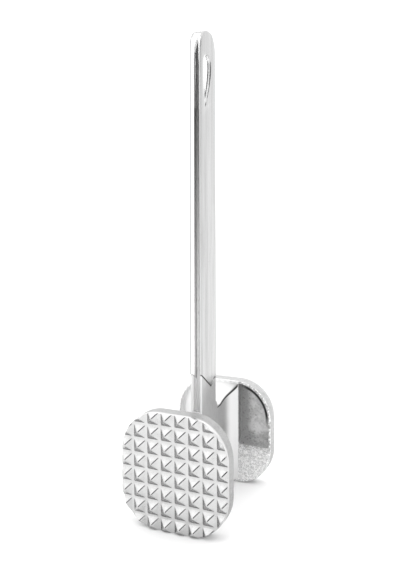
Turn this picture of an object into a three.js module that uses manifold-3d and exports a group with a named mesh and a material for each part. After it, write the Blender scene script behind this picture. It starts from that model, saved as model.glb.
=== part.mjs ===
// Meat tenderizer: a two-faced beating head of cast aluminium on a flat bar handle.
// Millimetres. +X to the right, +Y from the coarse face to the fine face, +Z up along the handle.
// The origin is on the bench, under the middle of the part's box.

import * as THREE from 'three';
import { mergeGeometries, mergeVertices } from 'three/addons/utils/BufferGeometryUtils.js';
import Module from 'manifold-3d';

const wasm = await Module();
wasm.setup();

// Face plates
const HEAD_DEPTH = 71.8; // between the root planes of the two sets of teeth
const PLATE_WIDTH = 55.2;
const PLATE_HEIGHT = 55.8;
const PLATE_CORNER_RADIUS = 19.5;
const PLATE_THICKNESS = 8;
const EDGE_CHAMFER = 0.4; // broken edge round the back of each plate

// Pockets in the back of each plate, one each side of the web
const POCKET_DEPTH = 4;
const POCKET_RIM = 1.3; // wall left at the plate's edge
const POCKET_DRAFT = 1.4; // how far a pocket wall leans in over its depth
const POCKET_FLOOR_HEIGHT = 21.6; // ledge under the pocket, above the bench

// Coarse teeth
const COARSE_PITCH = 7.2;
const COARSE_BASE = 5.95;
const COARSE_HEIGHT = 2.45;
const COARSE_TIP = 0.35;

// Fine teeth
const FINE_PITCH = 4;
const FINE_BASE = 3.3;
const FINE_HEIGHT = 1.4;
const FINE_TIP = 0.3;

// Web between the plates
const WEB_THICKNESS = 6.2;
const WEB_LIFT = 1.5; // underside of the web above the bench
const VALLEY_DROP = 9.9; // lowest stretch of the web's top edge, below the plates' top
const FLARE_WIDTH = 17.8; // across both flares, at the plate
const FLARE_REACH = 9.5; // where a flare leaves the web, from the plate
const FLARE_BEND = 4.3; // where a flare's slope would meet the web's side, from the plate
const FLARE_DROP = 1.3; // top of a flare below the plate's top
const FLARE_SWEEP = 11.8; // length of the flare's curved top edge

// Neck that rises from the web into the handle
const NECK_FRONT = 9;
const NECK_REAR = 11.4;
const NECK_REAR_RADIUS = 2.2;
const NECK_FILLET = 3.4;

// Handle sleeve, folded round the tang and open along its front edge
const HANDLE_LENGTH = 184.9; // from the tongue's tip to the rounded end
const HANDLE_WIDTH = 7;
const HANDLE_FRONT = 9.3;
const HANDLE_REAR = 10.6;
const HANDLE_FOLD_RADIUS = 1.7;
const HANDLE_END_HEIGHT = 11;
const HANDLE_END_RADIUS = 2.4;
const HANDLE_TAPER = 0.04; // share of the section lost from foot to end
const SLEEVE_WALL = 1.85;
const LIP_SPREAD = 0.8; // how much wider the slot's mouth is, each side
const LIP_DEPTH = 1.1; // depth over which the mouth narrows to the slot
const SLOT_END_DROP = 4.7; // pointed end of the slot below the handle's end
const SLOT_POINT_LENGTH = 10;

// Foot of the sleeve, with a tongue that points down each side of the neck
const TONGUE_RISE = 3.5; // tongue's tip above the plates' top
const TONGUE_PLACE = 3.1;
const TONGUE_ROUNDING = 0.6;
const FOOT_FRONT_RISE = 8.9; // front edge of the foot above the tongue's tip
const FOOT_REAR_RISE = 2.5; // rear edge of the foot above the tongue's tip
const FOOT_HOLLOW_WIDTH = 3.6;

// Tang inside the sleeve
const GROOVE_DEPTH = 3.5; // tang's front behind the sleeve's front edges
const FIT_GAP = 0.3; // all round between the tang and the sleeve
const FOOT_GAP = 0.4; // between the sleeve's foot and the neck's shoulder
const NECK_GROOVE_WIDTH = 3.3;
const TANG_END_DROP = 9.7; // end of the tang below the handle's end

// Hanging hole, a teardrop through the handle
const HOLE_PLACE = -0.5;
const HOLE_HALF_WIDTH = 4.4;
const HOLE_LEAN = 2; // how far forward of the middle the lower point lies
const HOLE_END_DROP = 11.9; // top of the hole below the handle's end
const HOLE_CROWN = 5.6;
const HOLE_STRAIGHT = 6;
const HOLE_POINT = 14.8;

// How far a cutting shape runs past what it cuts, and how deep a joined shape sinks in
const OVERRUN = 2;
const SINK = 0.6;

const ARC_STEPS = 14;

// Places that follow from the sizes
const ROOT_PLANE = HEAD_DEPTH / 2;
const INNER_FACE = ROOT_PLANE - PLATE_THICKNESS;
const HALF_WEB = WEB_THICKNESS / 2;
const VALLEY_Z = PLATE_HEIGHT - VALLEY_DROP;
const FLARE_TOP_Z = PLATE_HEIGHT - FLARE_DROP;
const HALF_FLARE = FLARE_WIDTH / 2;
const TONGUE_Z = PLATE_HEIGHT + TONGUE_RISE;
const HANDLE_TOP_Z = TONGUE_Z + HANDLE_LENGTH;
const HALF_HANDLE = HANDLE_WIDTH / 2;
const HALF_SLOT = HALF_HANDLE - SLEEVE_WALL;
const GROOVE_Y = GROOVE_DEPTH - HANDLE_FRONT;
const SLOT_TOP_Z = HANDLE_TOP_Z - SLOT_END_DROP;
const TANG_TOP_Z = HANDLE_TOP_Z - TANG_END_DROP;
const HOLE_TOP_Z = HANDLE_TOP_Z - HOLE_END_DROP;

// Which way a flat shape is carried: its x, its y and its direction of travel
const ALONG = {
  x: new THREE.Matrix4().makeBasis(
    new THREE.Vector3(0, 1, 0), new THREE.Vector3(0, 0, 1), new THREE.Vector3(1, 0, 0)),
  y: new THREE.Matrix4().makeBasis(
    new THREE.Vector3(1, 0, 0), new THREE.Vector3(0, 0, 1), new THREE.Vector3(0, -1, 0)),
  z: new THREE.Matrix4(),
};

/** A closed mesh as a solid that can be cut and joined. */
function solid(geometry) {
  const bare = geometry.clone();
  bare.deleteAttribute('normal');
  bare.deleteAttribute('uv');
  const merged = mergeVertices(bare);
  return new wasm.Manifold(new wasm.Mesh({
    numProp: 3,
    vertProperties: new Float32Array(merged.attributes.position.array),
    triVerts: new Uint32Array(merged.index.array),
  }));
}

/** The solid's surface as a geometry, each point moved by an optional function. */
function surface(body, move = () => {}) {
  const { vertProperties, triVerts } = body.getMesh();
  const geometry = new THREE.BufferGeometry();
  const points = new THREE.BufferAttribute(new Float32Array(vertProperties), 3);
  const point = new THREE.Vector3();
  for (let i = 0; i < points.count; i += 1) {
    point.fromBufferAttribute(points, i);
    move(point);
    points.setXYZ(i, point.x, point.y, point.z);
  }
  geometry.setAttribute('position', points);
  geometry.setIndex(new THREE.BufferAttribute(new Uint32Array(triVerts), 1));
  geometry.computeVertexNormals();
  return geometry;
}

/** A flat outline carried from one place to another along x, y or z. */
function prism(shape, axis, from, to) {
  const geometry = new THREE.ExtrudeGeometry(shape, {
    depth: to - from,
    bevelEnabled: false,
    curveSegments: ARC_STEPS,
  });
  if (axis === 'y') geometry.translate(0, 0, -to);
  else geometry.translate(0, 0, from);
  return solid(geometry.applyMatrix4(ALONG[axis]));
}

/** A rectangle with its own radius at each corner, counter-clockwise from the lower left. */
function roundedRectangle(left, bottom, right, top, radii) {
  const [a, b, c, d] = radii;
  const shape = new THREE.Shape();
  shape.moveTo(left + a, bottom);
  shape.lineTo(right - b, bottom);
  if (b > 0) shape.absarc(right - b, bottom + b, b, -Math.PI / 2, 0);
  shape.lineTo(right, top - c);
  if (c > 0) shape.absarc(right - c, top - c, c, 0, Math.PI / 2);
  shape.lineTo(left + d, top);
  if (d > 0) shape.absarc(left + d, top - d, d, Math.PI / 2, Math.PI);
  shape.lineTo(left, bottom + a);
  if (a > 0) shape.absarc(left + a, bottom + a, a, Math.PI, Math.PI * 1.5);
  return shape;
}

/** The plate's outline seen from the front, drawn in by an inset. */
function plateOutline(inset) {
  const radius = PLATE_CORNER_RADIUS - inset;
  const half = PLATE_WIDTH / 2 - inset;
  return roundedRectangle(-half, inset, half, PLATE_HEIGHT - inset, [radius, radius, radius, radius]);
}

/** A solid between two like outlines, one at each of two places along y, the nearer place first. */
function tapered(nearShape, nearY, farShape, farY) {
  const near = nearShape.getPoints(ARC_STEPS).slice(0, -1);
  const far = farShape.getPoints(ARC_STEPS).slice(0, -1);
  const count = near.length;
  const positions = [];
  near.forEach((p) => positions.push(p.x, nearY, p.y));
  far.forEach((p) => positions.push(p.x, farY, p.y));
  const index = [];
  for (let i = 0; i < count; i += 1) {
    const j = (i + 1) % count;
    index.push(i, count + i, count + j, i, count + j, j);
  }
  THREE.ShapeUtils.triangulateShape(near, []).forEach(([i, j, k]) => {
    index.push(i, j, k, count + i, count + k, count + j);
  });
  const geometry = new THREE.BufferGeometry();
  geometry.setAttribute('position', new THREE.Float32BufferAttribute(positions, 3));
  geometry.setIndex(index);
  return solid(geometry);
}

/** A square field of blunt pyramids standing out of the root plane, towards -y. */
function teeth(pitch, base, height, tip) {
  const across = Math.ceil(PLATE_WIDTH / pitch / 2) * 2;
  const slope = (base - tip) / height;
  const whole = height + SINK;
  const one = new THREE.CylinderGeometry(
    tip / Math.SQRT2, (base + slope * SINK) / Math.SQRT2, whole, 4, 1, false, Math.PI / 4);
  one.rotateX(Math.PI);
  one.translate(0, SINK - whole / 2, 0);
  const field = [];
  for (let i = 0; i < across; i += 1) {
    for (let j = 0; j < across; j += 1) {
      const x = (i - (across - 1) / 2) * pitch;
      const z = (j - (across - 1) / 2) * pitch;
      field.push(one.clone().translate(x, 0, z));
    }
  }
  return solid(mergeGeometries(field));
}

/** One pocket on the +x side, drafted on every wall, from its floor to the plate's back. */
function pocket() {
  const floorY = PLATE_THICKNESS - POCKET_DEPTH;
  const flare = HALF_FLARE;
  const ledge = POCKET_FLOOR_HEIGHT;
  const far = PLATE_WIDTH;
  const top = PLATE_HEIGHT + OVERRUN;
  const square = [0, 0, 0, 0];
  const round = tapered(
    plateOutline(POCKET_RIM + POCKET_DRAFT), floorY,
    plateOutline(POCKET_RIM), PLATE_THICKNESS);
  const side = tapered(
    roundedRectangle(flare + POCKET_DRAFT, ledge + POCKET_DRAFT, far, top, square), floorY - OVERRUN,
    roundedRectangle(flare, ledge, far, top, square), PLATE_THICKNESS + OVERRUN);
  return round.intersect(side);
}

/** A face plate with its teeth towards -y, its root plane at y = 0 and its back at +y. */
function facePlate(field, toothHeight) {
  const body = prism(plateOutline(0), 'y', 0, PLATE_THICKNESS - EDGE_CHAMFER);
  const back = tapered(
    plateOutline(0), PLATE_THICKNESS - EDGE_CHAMFER,
    plateOutline(EDGE_CHAMFER), PLATE_THICKNESS);
  const trim = prism(plateOutline(0), 'y', -toothHeight - OVERRUN, SINK);
  const right = pocket();
  const left = right.mirror([1, 0, 0]);
  return body.add(back).add(field.translate([0, 0, PLATE_HEIGHT / 2]).intersect(trim))
    .subtract(right)
    .subtract(left);
}

/** The web's side view, with the sunk valleys in its top edge and the foot of the neck between them. */
function webSideView() {
  const low = INNER_FACE - FLARE_SWEEP;
  const shape = new THREE.Shape();
  shape.moveTo(-INNER_FACE, WEB_LIFT);
  shape.lineTo(INNER_FACE, WEB_LIFT);
  shape.lineTo(INNER_FACE, FLARE_TOP_Z);
  shape.absellipse(low, FLARE_TOP_Z, FLARE_SWEEP, FLARE_TOP_Z - VALLEY_Z, 0, -Math.PI / 2, true, 0);
  shape.lineTo(NECK_REAR + NECK_FILLET, VALLEY_Z);
  shape.absarc(NECK_REAR + NECK_FILLET, VALLEY_Z + NECK_FILLET, NECK_FILLET, -Math.PI / 2, Math.PI, true);
  shape.lineTo(-NECK_FRONT, VALLEY_Z + NECK_FILLET);
  shape.absarc(-NECK_FRONT - NECK_FILLET, VALLEY_Z + NECK_FILLET, NECK_FILLET, 0, -Math.PI / 2, true);
  shape.lineTo(-low, VALLEY_Z);
  shape.absellipse(-low, FLARE_TOP_Z, FLARE_SWEEP, FLARE_TOP_Z - VALLEY_Z, -Math.PI / 2, -Math.PI, true, 0);
  return shape;
}

/** The web's plan view, flaring out to each plate. */
function webPlanView() {
  const start = INNER_FACE - FLARE_REACH;
  const bend = INNER_FACE - FLARE_BEND;
  const shape = new THREE.Shape();
  shape.moveTo(HALF_WEB, -start);
  shape.lineTo(HALF_WEB, start);
  shape.quadraticCurveTo(HALF_WEB, bend, HALF_FLARE, INNER_FACE);
  shape.lineTo(-HALF_FLARE, INNER_FACE);
  shape.quadraticCurveTo(-HALF_WEB, bend, -HALF_WEB, start);
  shape.lineTo(-HALF_WEB, -start);
  shape.quadraticCurveTo(-HALF_WEB, -bend, -HALF_FLARE, -INNER_FACE);
  shape.lineTo(HALF_FLARE, -INNER_FACE);
  shape.quadraticCurveTo(HALF_WEB, -bend, HALF_WEB, -start);
  return shape;
}

/** The foot's lower edge in side view, from the front edge round the tongue to the rear edge. */
function drawFoot(shape, front, rear, drop) {
  const slope = FOOT_FRONT_RISE / (HANDLE_FRONT + TONGUE_PLACE);
  const tip = TONGUE_Z - drop;
  const frontZ = tip + slope * (TONGUE_PLACE - front);
  const rise = FOOT_REAR_RISE;
  shape.moveTo(front, frontZ);
  shape.lineTo(TONGUE_PLACE - TONGUE_ROUNDING, tip + slope * TONGUE_ROUNDING);
  shape.quadraticCurveTo(TONGUE_PLACE, tip, TONGUE_PLACE + TONGUE_ROUNDING, tip + slope * TONGUE_ROUNDING);
  shape.quadraticCurveTo(
    TONGUE_PLACE + FOOT_HOLLOW_WIDTH / 2, tip + rise, TONGUE_PLACE + FOOT_HOLLOW_WIDTH, tip + rise);
  shape.lineTo(rear, tip + rise);
}

/** The neck below the sleeve's foot, grooved down its front edge. */
function neck() {
  const base = VALLEY_Z;
  const view = new THREE.Shape();
  drawFoot(view, -NECK_FRONT, NECK_REAR, FOOT_GAP);
  view.lineTo(NECK_REAR, base);
  view.lineTo(-NECK_FRONT, base);
  const plan = roundedRectangle(
    -HALF_WEB, -NECK_FRONT, HALF_WEB, NECK_REAR, [0, 0, NECK_REAR_RADIUS, NECK_REAR_RADIUS]);
  return prism(view, 'x', -HALF_WEB, HALF_WEB)
    .intersect(prism(plan, 'z', base - OVERRUN, HANDLE_TOP_Z));
}

/** The web, its flares and the neck in one casting with the tang. */
function webAndTang() {
  const web = prism(webSideView(), 'x', -HALF_FLARE - OVERRUN, HALF_FLARE + OVERRUN)
    .intersect(prism(webPlanView(), 'z', 0, PLATE_HEIGHT));
  const groove = prism(
    roundedRectangle(-NECK_GROOVE_WIDTH / 2, -NECK_FRONT - NECK_FILLET, NECK_GROOVE_WIDTH / 2, GROOVE_Y,
      [0, 0, 0, 0]), 'z', VALLEY_Z + NECK_FILLET, HANDLE_TOP_Z);
  return web.add(neck()).subtract(groove).add(narrowed(tang()));
}

/** The tang's bar, from inside the neck to the closed end of the sleeve, with the hanging hole. */
function tang() {
  const half = HALF_SLOT - FIT_GAP;
  const rear = HANDLE_REAR - SLEEVE_WALL - FIT_GAP;
  const bar = roundedRectangle(-half, GROOVE_Y, half, rear, [0, 0, 0, 0]);
  return prism(bar, 'z', TONGUE_Z - FOOT_FRONT_RISE, TANG_TOP_Z)
    .subtract(prism(teardrop(), 'x', -HANDLE_WIDTH, HANDLE_WIDTH));
}

/** The hanging hole in side view: a crown, two straight sides and a point that leans forward below. */
function teardrop() {
  const tip = HOLE_PLACE - HOLE_LEAN;
  const left = HOLE_PLACE - HOLE_HALF_WIDTH;
  const right = HOLE_PLACE + HOLE_HALF_WIDTH;
  const shoulder = HOLE_TOP_Z - HOLE_CROWN;
  const waist = shoulder - HOLE_STRAIGHT;
  const shape = new THREE.Shape();
  shape.moveTo(right, waist);
  shape.lineTo(right, shoulder);
  shape.absellipse(HOLE_PLACE, shoulder, HOLE_HALF_WIDTH, HOLE_CROWN, 0, Math.PI, false, 0);
  shape.lineTo(left, waist);
  shape.quadraticCurveTo(left, waist - HOLE_POINT / 2, tip, waist - HOLE_POINT);
  shape.quadraticCurveTo(right, waist - HOLE_POINT / 2, right, waist);
  return shape;
}

/** The sleeve's side view: the foot below and a half-round end on top. */
function sleeveSideView() {
  const middle = (HANDLE_REAR - HANDLE_FRONT) / 2;
  const half = (HANDLE_REAR + HANDLE_FRONT) / 2;
  const shape = new THREE.Shape();
  drawFoot(shape, -HANDLE_FRONT, HANDLE_REAR, 0);
  shape.lineTo(HANDLE_REAR, HANDLE_TOP_Z - HANDLE_END_HEIGHT);
  shape.absellipse(middle, HANDLE_TOP_Z - HANDLE_END_HEIGHT, half, HANDLE_END_HEIGHT, 0, Math.PI, false, 0);
  return shape;
}

/** The slot's front view, open at the foot and drawn to a point at the end, wider by a spread each side. */
function slotFrontView(spread) {
  const half = HALF_SLOT + spread;
  const end = SLOT_TOP_Z + spread;
  const shoulder = SLOT_TOP_Z - SLOT_POINT_LENGTH;
  const bend = (shoulder + end) / 2;
  const shape = new THREE.Shape();
  shape.moveTo(-half, VALLEY_Z);
  shape.lineTo(half, VALLEY_Z);
  shape.lineTo(half, shoulder);
  shape.quadraticCurveTo(half, bend, 0, end);
  shape.quadraticCurveTo(-half, bend, -half, shoulder);
  return shape;
}

/** The slot's mouth, which narrows from the sleeve's front edges to the slot. */
function slotMouth() {
  return tapered(
    slotFrontView(2 * LIP_SPREAD), -HANDLE_FRONT - LIP_DEPTH,
    slotFrontView(0), -HANDLE_FRONT + LIP_DEPTH);
}

/** The folded sleeve: a flat channel with a closed back and end, an open front and the hanging hole. */
function handleSleeve() {
  const fold = HANDLE_FOLD_RADIUS;
  const end = HANDLE_END_RADIUS;
  const plan = roundedRectangle(
    -HALF_HANDLE, -HANDLE_FRONT, HALF_HANDLE, HANDLE_REAR, [0, 0, fold, fold]);
  const front = roundedRectangle(
    -HALF_HANDLE, VALLEY_Z, HALF_HANDLE, HANDLE_TOP_Z, [0, 0, end, end]);
  const cavity = roundedRectangle(
    -HALF_SLOT, VALLEY_Z, HALF_SLOT, TANG_TOP_Z + FIT_GAP, [0, 0, 0, 0]);
  return prism(sleeveSideView(), 'x', -HALF_HANDLE, HALF_HANDLE)
    .intersect(prism(plan, 'z', VALLEY_Z, HANDLE_TOP_Z + OVERRUN))
    .intersect(prism(front, 'y', -HANDLE_FRONT - OVERRUN, HANDLE_REAR + OVERRUN))
    .subtract(slotMouth())
    .subtract(prism(slotFrontView(0), 'y', -HANDLE_FRONT - OVERRUN, GROOVE_Y))
    .subtract(prism(cavity, 'y', GROOVE_Y - FIT_GAP, HANDLE_REAR - SLEEVE_WALL))
    .subtract(prism(teardrop(), 'x', -HANDLE_WIDTH, HANDLE_WIDTH));
}

/** The handle's taper: the section shrinks evenly from the foot to the end. */
function taper(point) {
  const share = 1 - HANDLE_TAPER * ((point.z - TONGUE_Z) / HANDLE_LENGTH);
  point.x *= share;
  point.y *= share;
}

/** A solid with the handle's taper. */
function narrowed(body) {
  return solid(surface(body, taper));
}

/** A named mesh with its own finish. */
function piece(name, geometry, colour, roughness) {
  const material = new THREE.MeshStandardMaterial({ color: colour, roughness, metalness: 1 });
  const mesh = new THREE.Mesh(geometry, material);
  mesh.name = name;
  return mesh;
}

const coarseField = teeth(COARSE_PITCH, COARSE_BASE, COARSE_HEIGHT, COARSE_TIP);
const fineField = teeth(FINE_PITCH, FINE_BASE, FINE_HEIGHT, FINE_TIP);

const coarseFace = surface(facePlate(coarseField, COARSE_HEIGHT), (p) => {
  p.y -= ROOT_PLANE;
});
const fineFace = surface(facePlate(fineField, FINE_HEIGHT), (p) => {
  p.x = -p.x;
  p.y = ROOT_PLANE - p.y;
});

const head = new THREE.Group();
head.add(piece('coarse_face_plate', coarseFace, '#d3d3d1', 0.42));
head.add(piece('fine_face_plate', fineFace, '#d3d3d1', 0.42));
head.add(piece('web_and_tang', surface(webAndTang()), '#c9c9c8', 0.4));

const handle = new THREE.Group();
handle.add(piece('handle_sleeve', surface(narrowed(handleSleeve())), '#d8d8d6', 0.3));

// The coarse teeth stand out further than the fine ones, so the middle of the web is off the origin.
const tenderizer = new THREE.Group();
tenderizer.add(head, handle);
tenderizer.position.y = (COARSE_HEIGHT - FINE_HEIGHT) / 2;

export default tenderizer;
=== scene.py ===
"""Meat tenderizer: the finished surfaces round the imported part, in metres, standing on a pale floor."""

import logging
import math
from dataclasses import dataclass
from enum import Enum
from typing import Any, Callable, Iterable

import bmesh
import bpy
import numpy as np
from mathutils import Matrix


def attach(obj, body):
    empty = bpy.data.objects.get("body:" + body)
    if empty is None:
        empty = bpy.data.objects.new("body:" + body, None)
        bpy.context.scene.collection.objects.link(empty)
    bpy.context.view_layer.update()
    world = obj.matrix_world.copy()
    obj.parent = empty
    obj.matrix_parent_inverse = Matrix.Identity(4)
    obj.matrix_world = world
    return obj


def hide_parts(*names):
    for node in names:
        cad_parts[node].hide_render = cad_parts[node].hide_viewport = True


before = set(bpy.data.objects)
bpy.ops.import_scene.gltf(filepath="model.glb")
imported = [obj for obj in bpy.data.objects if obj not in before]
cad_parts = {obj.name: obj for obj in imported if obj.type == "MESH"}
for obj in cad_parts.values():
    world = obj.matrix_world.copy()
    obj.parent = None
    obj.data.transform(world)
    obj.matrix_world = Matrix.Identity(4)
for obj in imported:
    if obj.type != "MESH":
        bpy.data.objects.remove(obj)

LOG = logging.getLogger("tenderizer")
MM = 0.001
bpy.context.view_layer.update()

# The photograph's height, in pixels
PHOTO_HEIGHT = 570

# Points nearer than SAME are one, and edges shorter than STUB are leftovers of a rounding, in millimetres
SAME = 1e-4
STUB = 0.004

# How far cutting shapes reach past the handle along Y and to each side, in millimetres
PAST = 25.0
PAST_SIDE = 12.0

Array = np.ndarray
Pair = tuple[float, float]


class Form:
    """A closed surface being worked out: points in millimetres and faces that turn outwards."""

    def __init__(self, points: Array, faces: list[Array]) -> None:
        """Keep the points and faces.

        Args:
            points: an array of points, one a row.
            faces: arrays of point numbers, one face a row; the faces of one array have equally many corners.
        """
        self.points = np.asarray(points, dtype=float).reshape(-1, 3)
        self.faces = faces

    @staticmethod
    def band(rings: int, places: int) -> Array:
        """The faces of a stack of closed rings: place i of ring r is joined to i + 1 and to ring r + 1.

        Args:
            rings: how many rings there are.
            places: how many points each has.

        Returns:
            the faces, four point numbers a row.
        """
        r, i = np.meshgrid(np.arange(rings - 1), np.arange(places), indexing="ij")
        j = (i + 1) % places
        quads = [r * places + i, r * places + j, (r + 1) * places + j, (r + 1) * places + i]
        return np.stack(quads, axis=-1).reshape(-1, 4)

    @classmethod
    def loft(cls, rings: Array) -> "Form":
        """A skin over a stack of closed rings, capped at both ends.

        Args:
            rings: an array of rings, places and coordinates.

        Returns:
            the closed form.
        """
        count, places, _ = rings.shape
        first = np.arange(places)[::-1]
        last = np.arange(places) + (count - 1) * places
        return cls(rings.reshape(-1, 3), [cls.band(count, places), first[None], last[None]])

    def changed(self, change: Callable[[Array], Array]) -> "Form":
        """The same faces on changed points."""
        return Form(change(self.points), self.faces)

    def piece(self, name: str) -> Any:
        """Make the form an object in metres, its faces turned outwards and its doubled points joined.

        Args:
            name: the object's name.

        Returns:
            the object.
        """
        mesh = bpy.data.meshes.new(name)
        faces = [face for group in self.faces for face in group.tolist()]
        mesh.from_pydata((self.points * MM).tolist(), [], faces)
        work = bmesh.new()
        work.from_mesh(mesh)
        bmesh.ops.remove_doubles(work, verts=work.verts, dist=SAME * MM)
        bmesh.ops.recalc_face_normals(work, faces=work.faces)
        work.to_mesh(mesh)
        work.free()
        obj = bpy.data.objects.new(name, mesh)
        bpy.context.scene.collection.objects.link(obj)
        return obj


def settle(obj: Any) -> None:
    """Turn an object's modifiers into its mesh.

    Args:
        obj: the object.
    """
    graph = bpy.context.evaluated_depsgraph_get()
    graph.update()
    mesh = bpy.data.meshes.new_from_object(obj.evaluated_get(graph))
    old = obj.data
    obj.modifiers.clear()
    obj.data = mesh
    mesh.name = obj.name
    bpy.data.meshes.remove(old)


def carve(obj: Any, operation: str, *tools: Any) -> Any:
    """Join, cut or trim one object with others, which are used up.

    Args:
        obj: the object that is changed.
        operation: UNION, DIFFERENCE or INTERSECT.
        tools: the other objects.

    Returns:
        the changed object.
    """
    for tool in tools:
        modifier = obj.modifiers.new("carve", "BOOLEAN")
        modifier.operation = operation
        modifier.solver = "EXACT"
        modifier.object = tool
        settle(obj)
        mesh = tool.data
        bpy.data.objects.remove(tool)
        bpy.data.meshes.remove(mesh)
    return obj


def soften(obj: Any, width: float, angle: float, steps: int = 2) -> None:
    """Round an object's sharp edges, and clear away the empty faces that this leaves at sharp corners.

    Args:
        obj: the object.
        width: of the rounding, in millimetres.
        angle: the least angle that counts as an edge, in degrees.
        steps: faces across the rounding.
    """
    modifier = obj.modifiers.new("round", "BEVEL")
    modifier.width = width * MM
    modifier.segments = steps
    modifier.limit_method = "ANGLE"
    modifier.angle_limit = math.radians(angle)
    modifier.use_clamp_overlap = True
    settle(obj)
    work = bmesh.new()
    work.from_mesh(obj.data)
    bmesh.ops.dissolve_degenerate(work, dist=STUB * MM, edges=work.edges)
    work.to_mesh(obj.data)
    work.free()


def arc(centre: Pair, radii: Pair, start: float, end: float, count: int) -> Array:
    """Points along an arc of an upright ellipse.

    Args:
        centre: its middle.
        radii: its two radii.
        start: first angle, in degrees.
        end: last angle, in degrees.
        count: how many points.

    Returns:
        the points, two numbers a row.
    """
    turn = np.radians(np.linspace(start, end, count))
    return np.stack([centre[0] + radii[0] * np.cos(turn), centre[1] + radii[1] * np.sin(turn)], axis=1)


def bow(start: Any, bend: Any, end: Any, count: int) -> Array:
    """Points along the quadratic curve (1 - t)^2 start + 2 t (1 - t) bend + t^2 end, for t from 0 to 1.

    Args:
        start: its first point, or an array of the first points of several curves.
        bend: the point it bends towards, or several.
        end: its last point, or several.
        count: how many points.

    Returns:
        the points, two numbers a row, for each curve.
    """
    first, middle, last = (np.asarray(point, dtype=float)[..., None, :] for point in (start, bend, end))
    t = np.linspace(0, 1, count)[:, None]
    return (1 - t) ** 2 * first + 2 * t * (1 - t) * middle + t**2 * last


def rounded_box(low: Any, high: Any, radii: Any, count: int = 9) -> Array:
    """A rectangle's outline with a radius at each corner, from the lower left, counter-clockwise.

    A corner's points are its centre plus r (cos t, sin t), and the centre lies r inside both sides.

    Args:
        low: its lower left corner, or an array of the corners of several rectangles.
        high: its upper right corner, or several.
        radii: the four radii, or several rows of them.
        count: points at each corner.

    Returns:
        the points, two numbers a row, for each rectangle.
    """
    low, high = np.broadcast_arrays(np.asarray(low, dtype=float), np.asarray(high, dtype=float))
    size = np.asarray(radii, dtype=float)[..., None]
    right = np.stack([high[..., 0], low[..., 1]], axis=-1)
    left = np.stack([low[..., 0], high[..., 1]], axis=-1)
    signs = np.array([(1, 1), (-1, 1), (-1, -1), (1, -1)], dtype=float)
    centres = np.stack([low, right, high, left], axis=-2) + signs * size
    turn = np.radians(np.linspace(0, 90, count)[None, :] + np.array([180, 270, 0, 90])[:, None])
    points = centres[..., None, :] + size[..., None] * np.stack([np.cos(turn), np.sin(turn)], axis=-1)
    return points.reshape(*low.shape[:-1], -1, 2)


def raised(outlines: Array, axis: int, places: Array) -> Array:
    """Flat outlines, each set at its place along an axis.

    Args:
        outlines: an array of outlines, points and the two other coordinates, in the order of x, y, z.
        axis: the axis that is added: 0, 1 or 2.
        places: a place for each outline.

    Returns:
        rings of points.
    """
    return np.insert(outlines, axis, np.broadcast_to(places[:, None], outlines.shape[:2]), axis=2)


def prism(outline: Array, axis: int, stations: Iterable[float]) -> Form:
    """A flat outline carried along an axis.

    Args:
        outline: points of the two other axes, in the order of x, y, z.
        axis: the axis it is carried along.
        stations: places along the axis.

    Returns:
        the form.
    """
    places = np.array(list(stations), dtype=float)
    return Form.loft(raised(np.repeat(outline[None], len(places), axis=0), axis, places))


@dataclass(frozen=True)
class Head:
    """The beating head's sizes, in millimetres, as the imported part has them.

    Attributes:
        depth: between the root planes of the two sets of teeth.
        width: of a plate.
        height: of a plate.
        corner: radius of a plate's outline at its corners.
        thick: a plate's thickness behind its root plane.
        shift: the middle of the two root planes, along Y.
    """

    depth: float = 71.8
    width: float = 55.2
    height: float = 55.8
    corner: float = 19.5
    thick: float = 8.0
    shift: float = 0.525

    @property
    def inner(self) -> float:
        """Distance of a plate's back from the middle of the head."""
        return self.depth / 2 - self.thick


HEAD = Head()


@dataclass(frozen=True)
class TopEdge:
    """The web's top edge: a level valley that sweeps up to each plate, |along|^n + |up|^n = 1.

    Attributes:
        valley: drop of the valley below the plates' top, in millimetres.
        end: drop of the sweep's end below it.
        sweep: length of the sweep.
        power: the power n; 2 is an ellipse.
    """

    valley: float = 9.9
    end: float = 1.3
    sweep: float = 11.8
    power: float = 1.4

    @property
    def start(self) -> float:
        """Distance of the sweep's start from the middle of the head."""
        return HEAD.inner - self.sweep

    def height(self, share: Any) -> Any:
        """The edge's height above the bench, end + (1 - share^n)^(1/n) (valley - end) below the plates' top.

        Args:
            share: how far a place is along the sweep, from 0 to 1, as numbers or as a value in a material.

        Returns:
            the height, of the same kind.
        """
        left = (1.0 - share**self.power) ** (1 / self.power)
        return HEAD.height - self.end - left * (self.valley - self.end)


TOP_EDGE = TopEdge()


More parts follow.
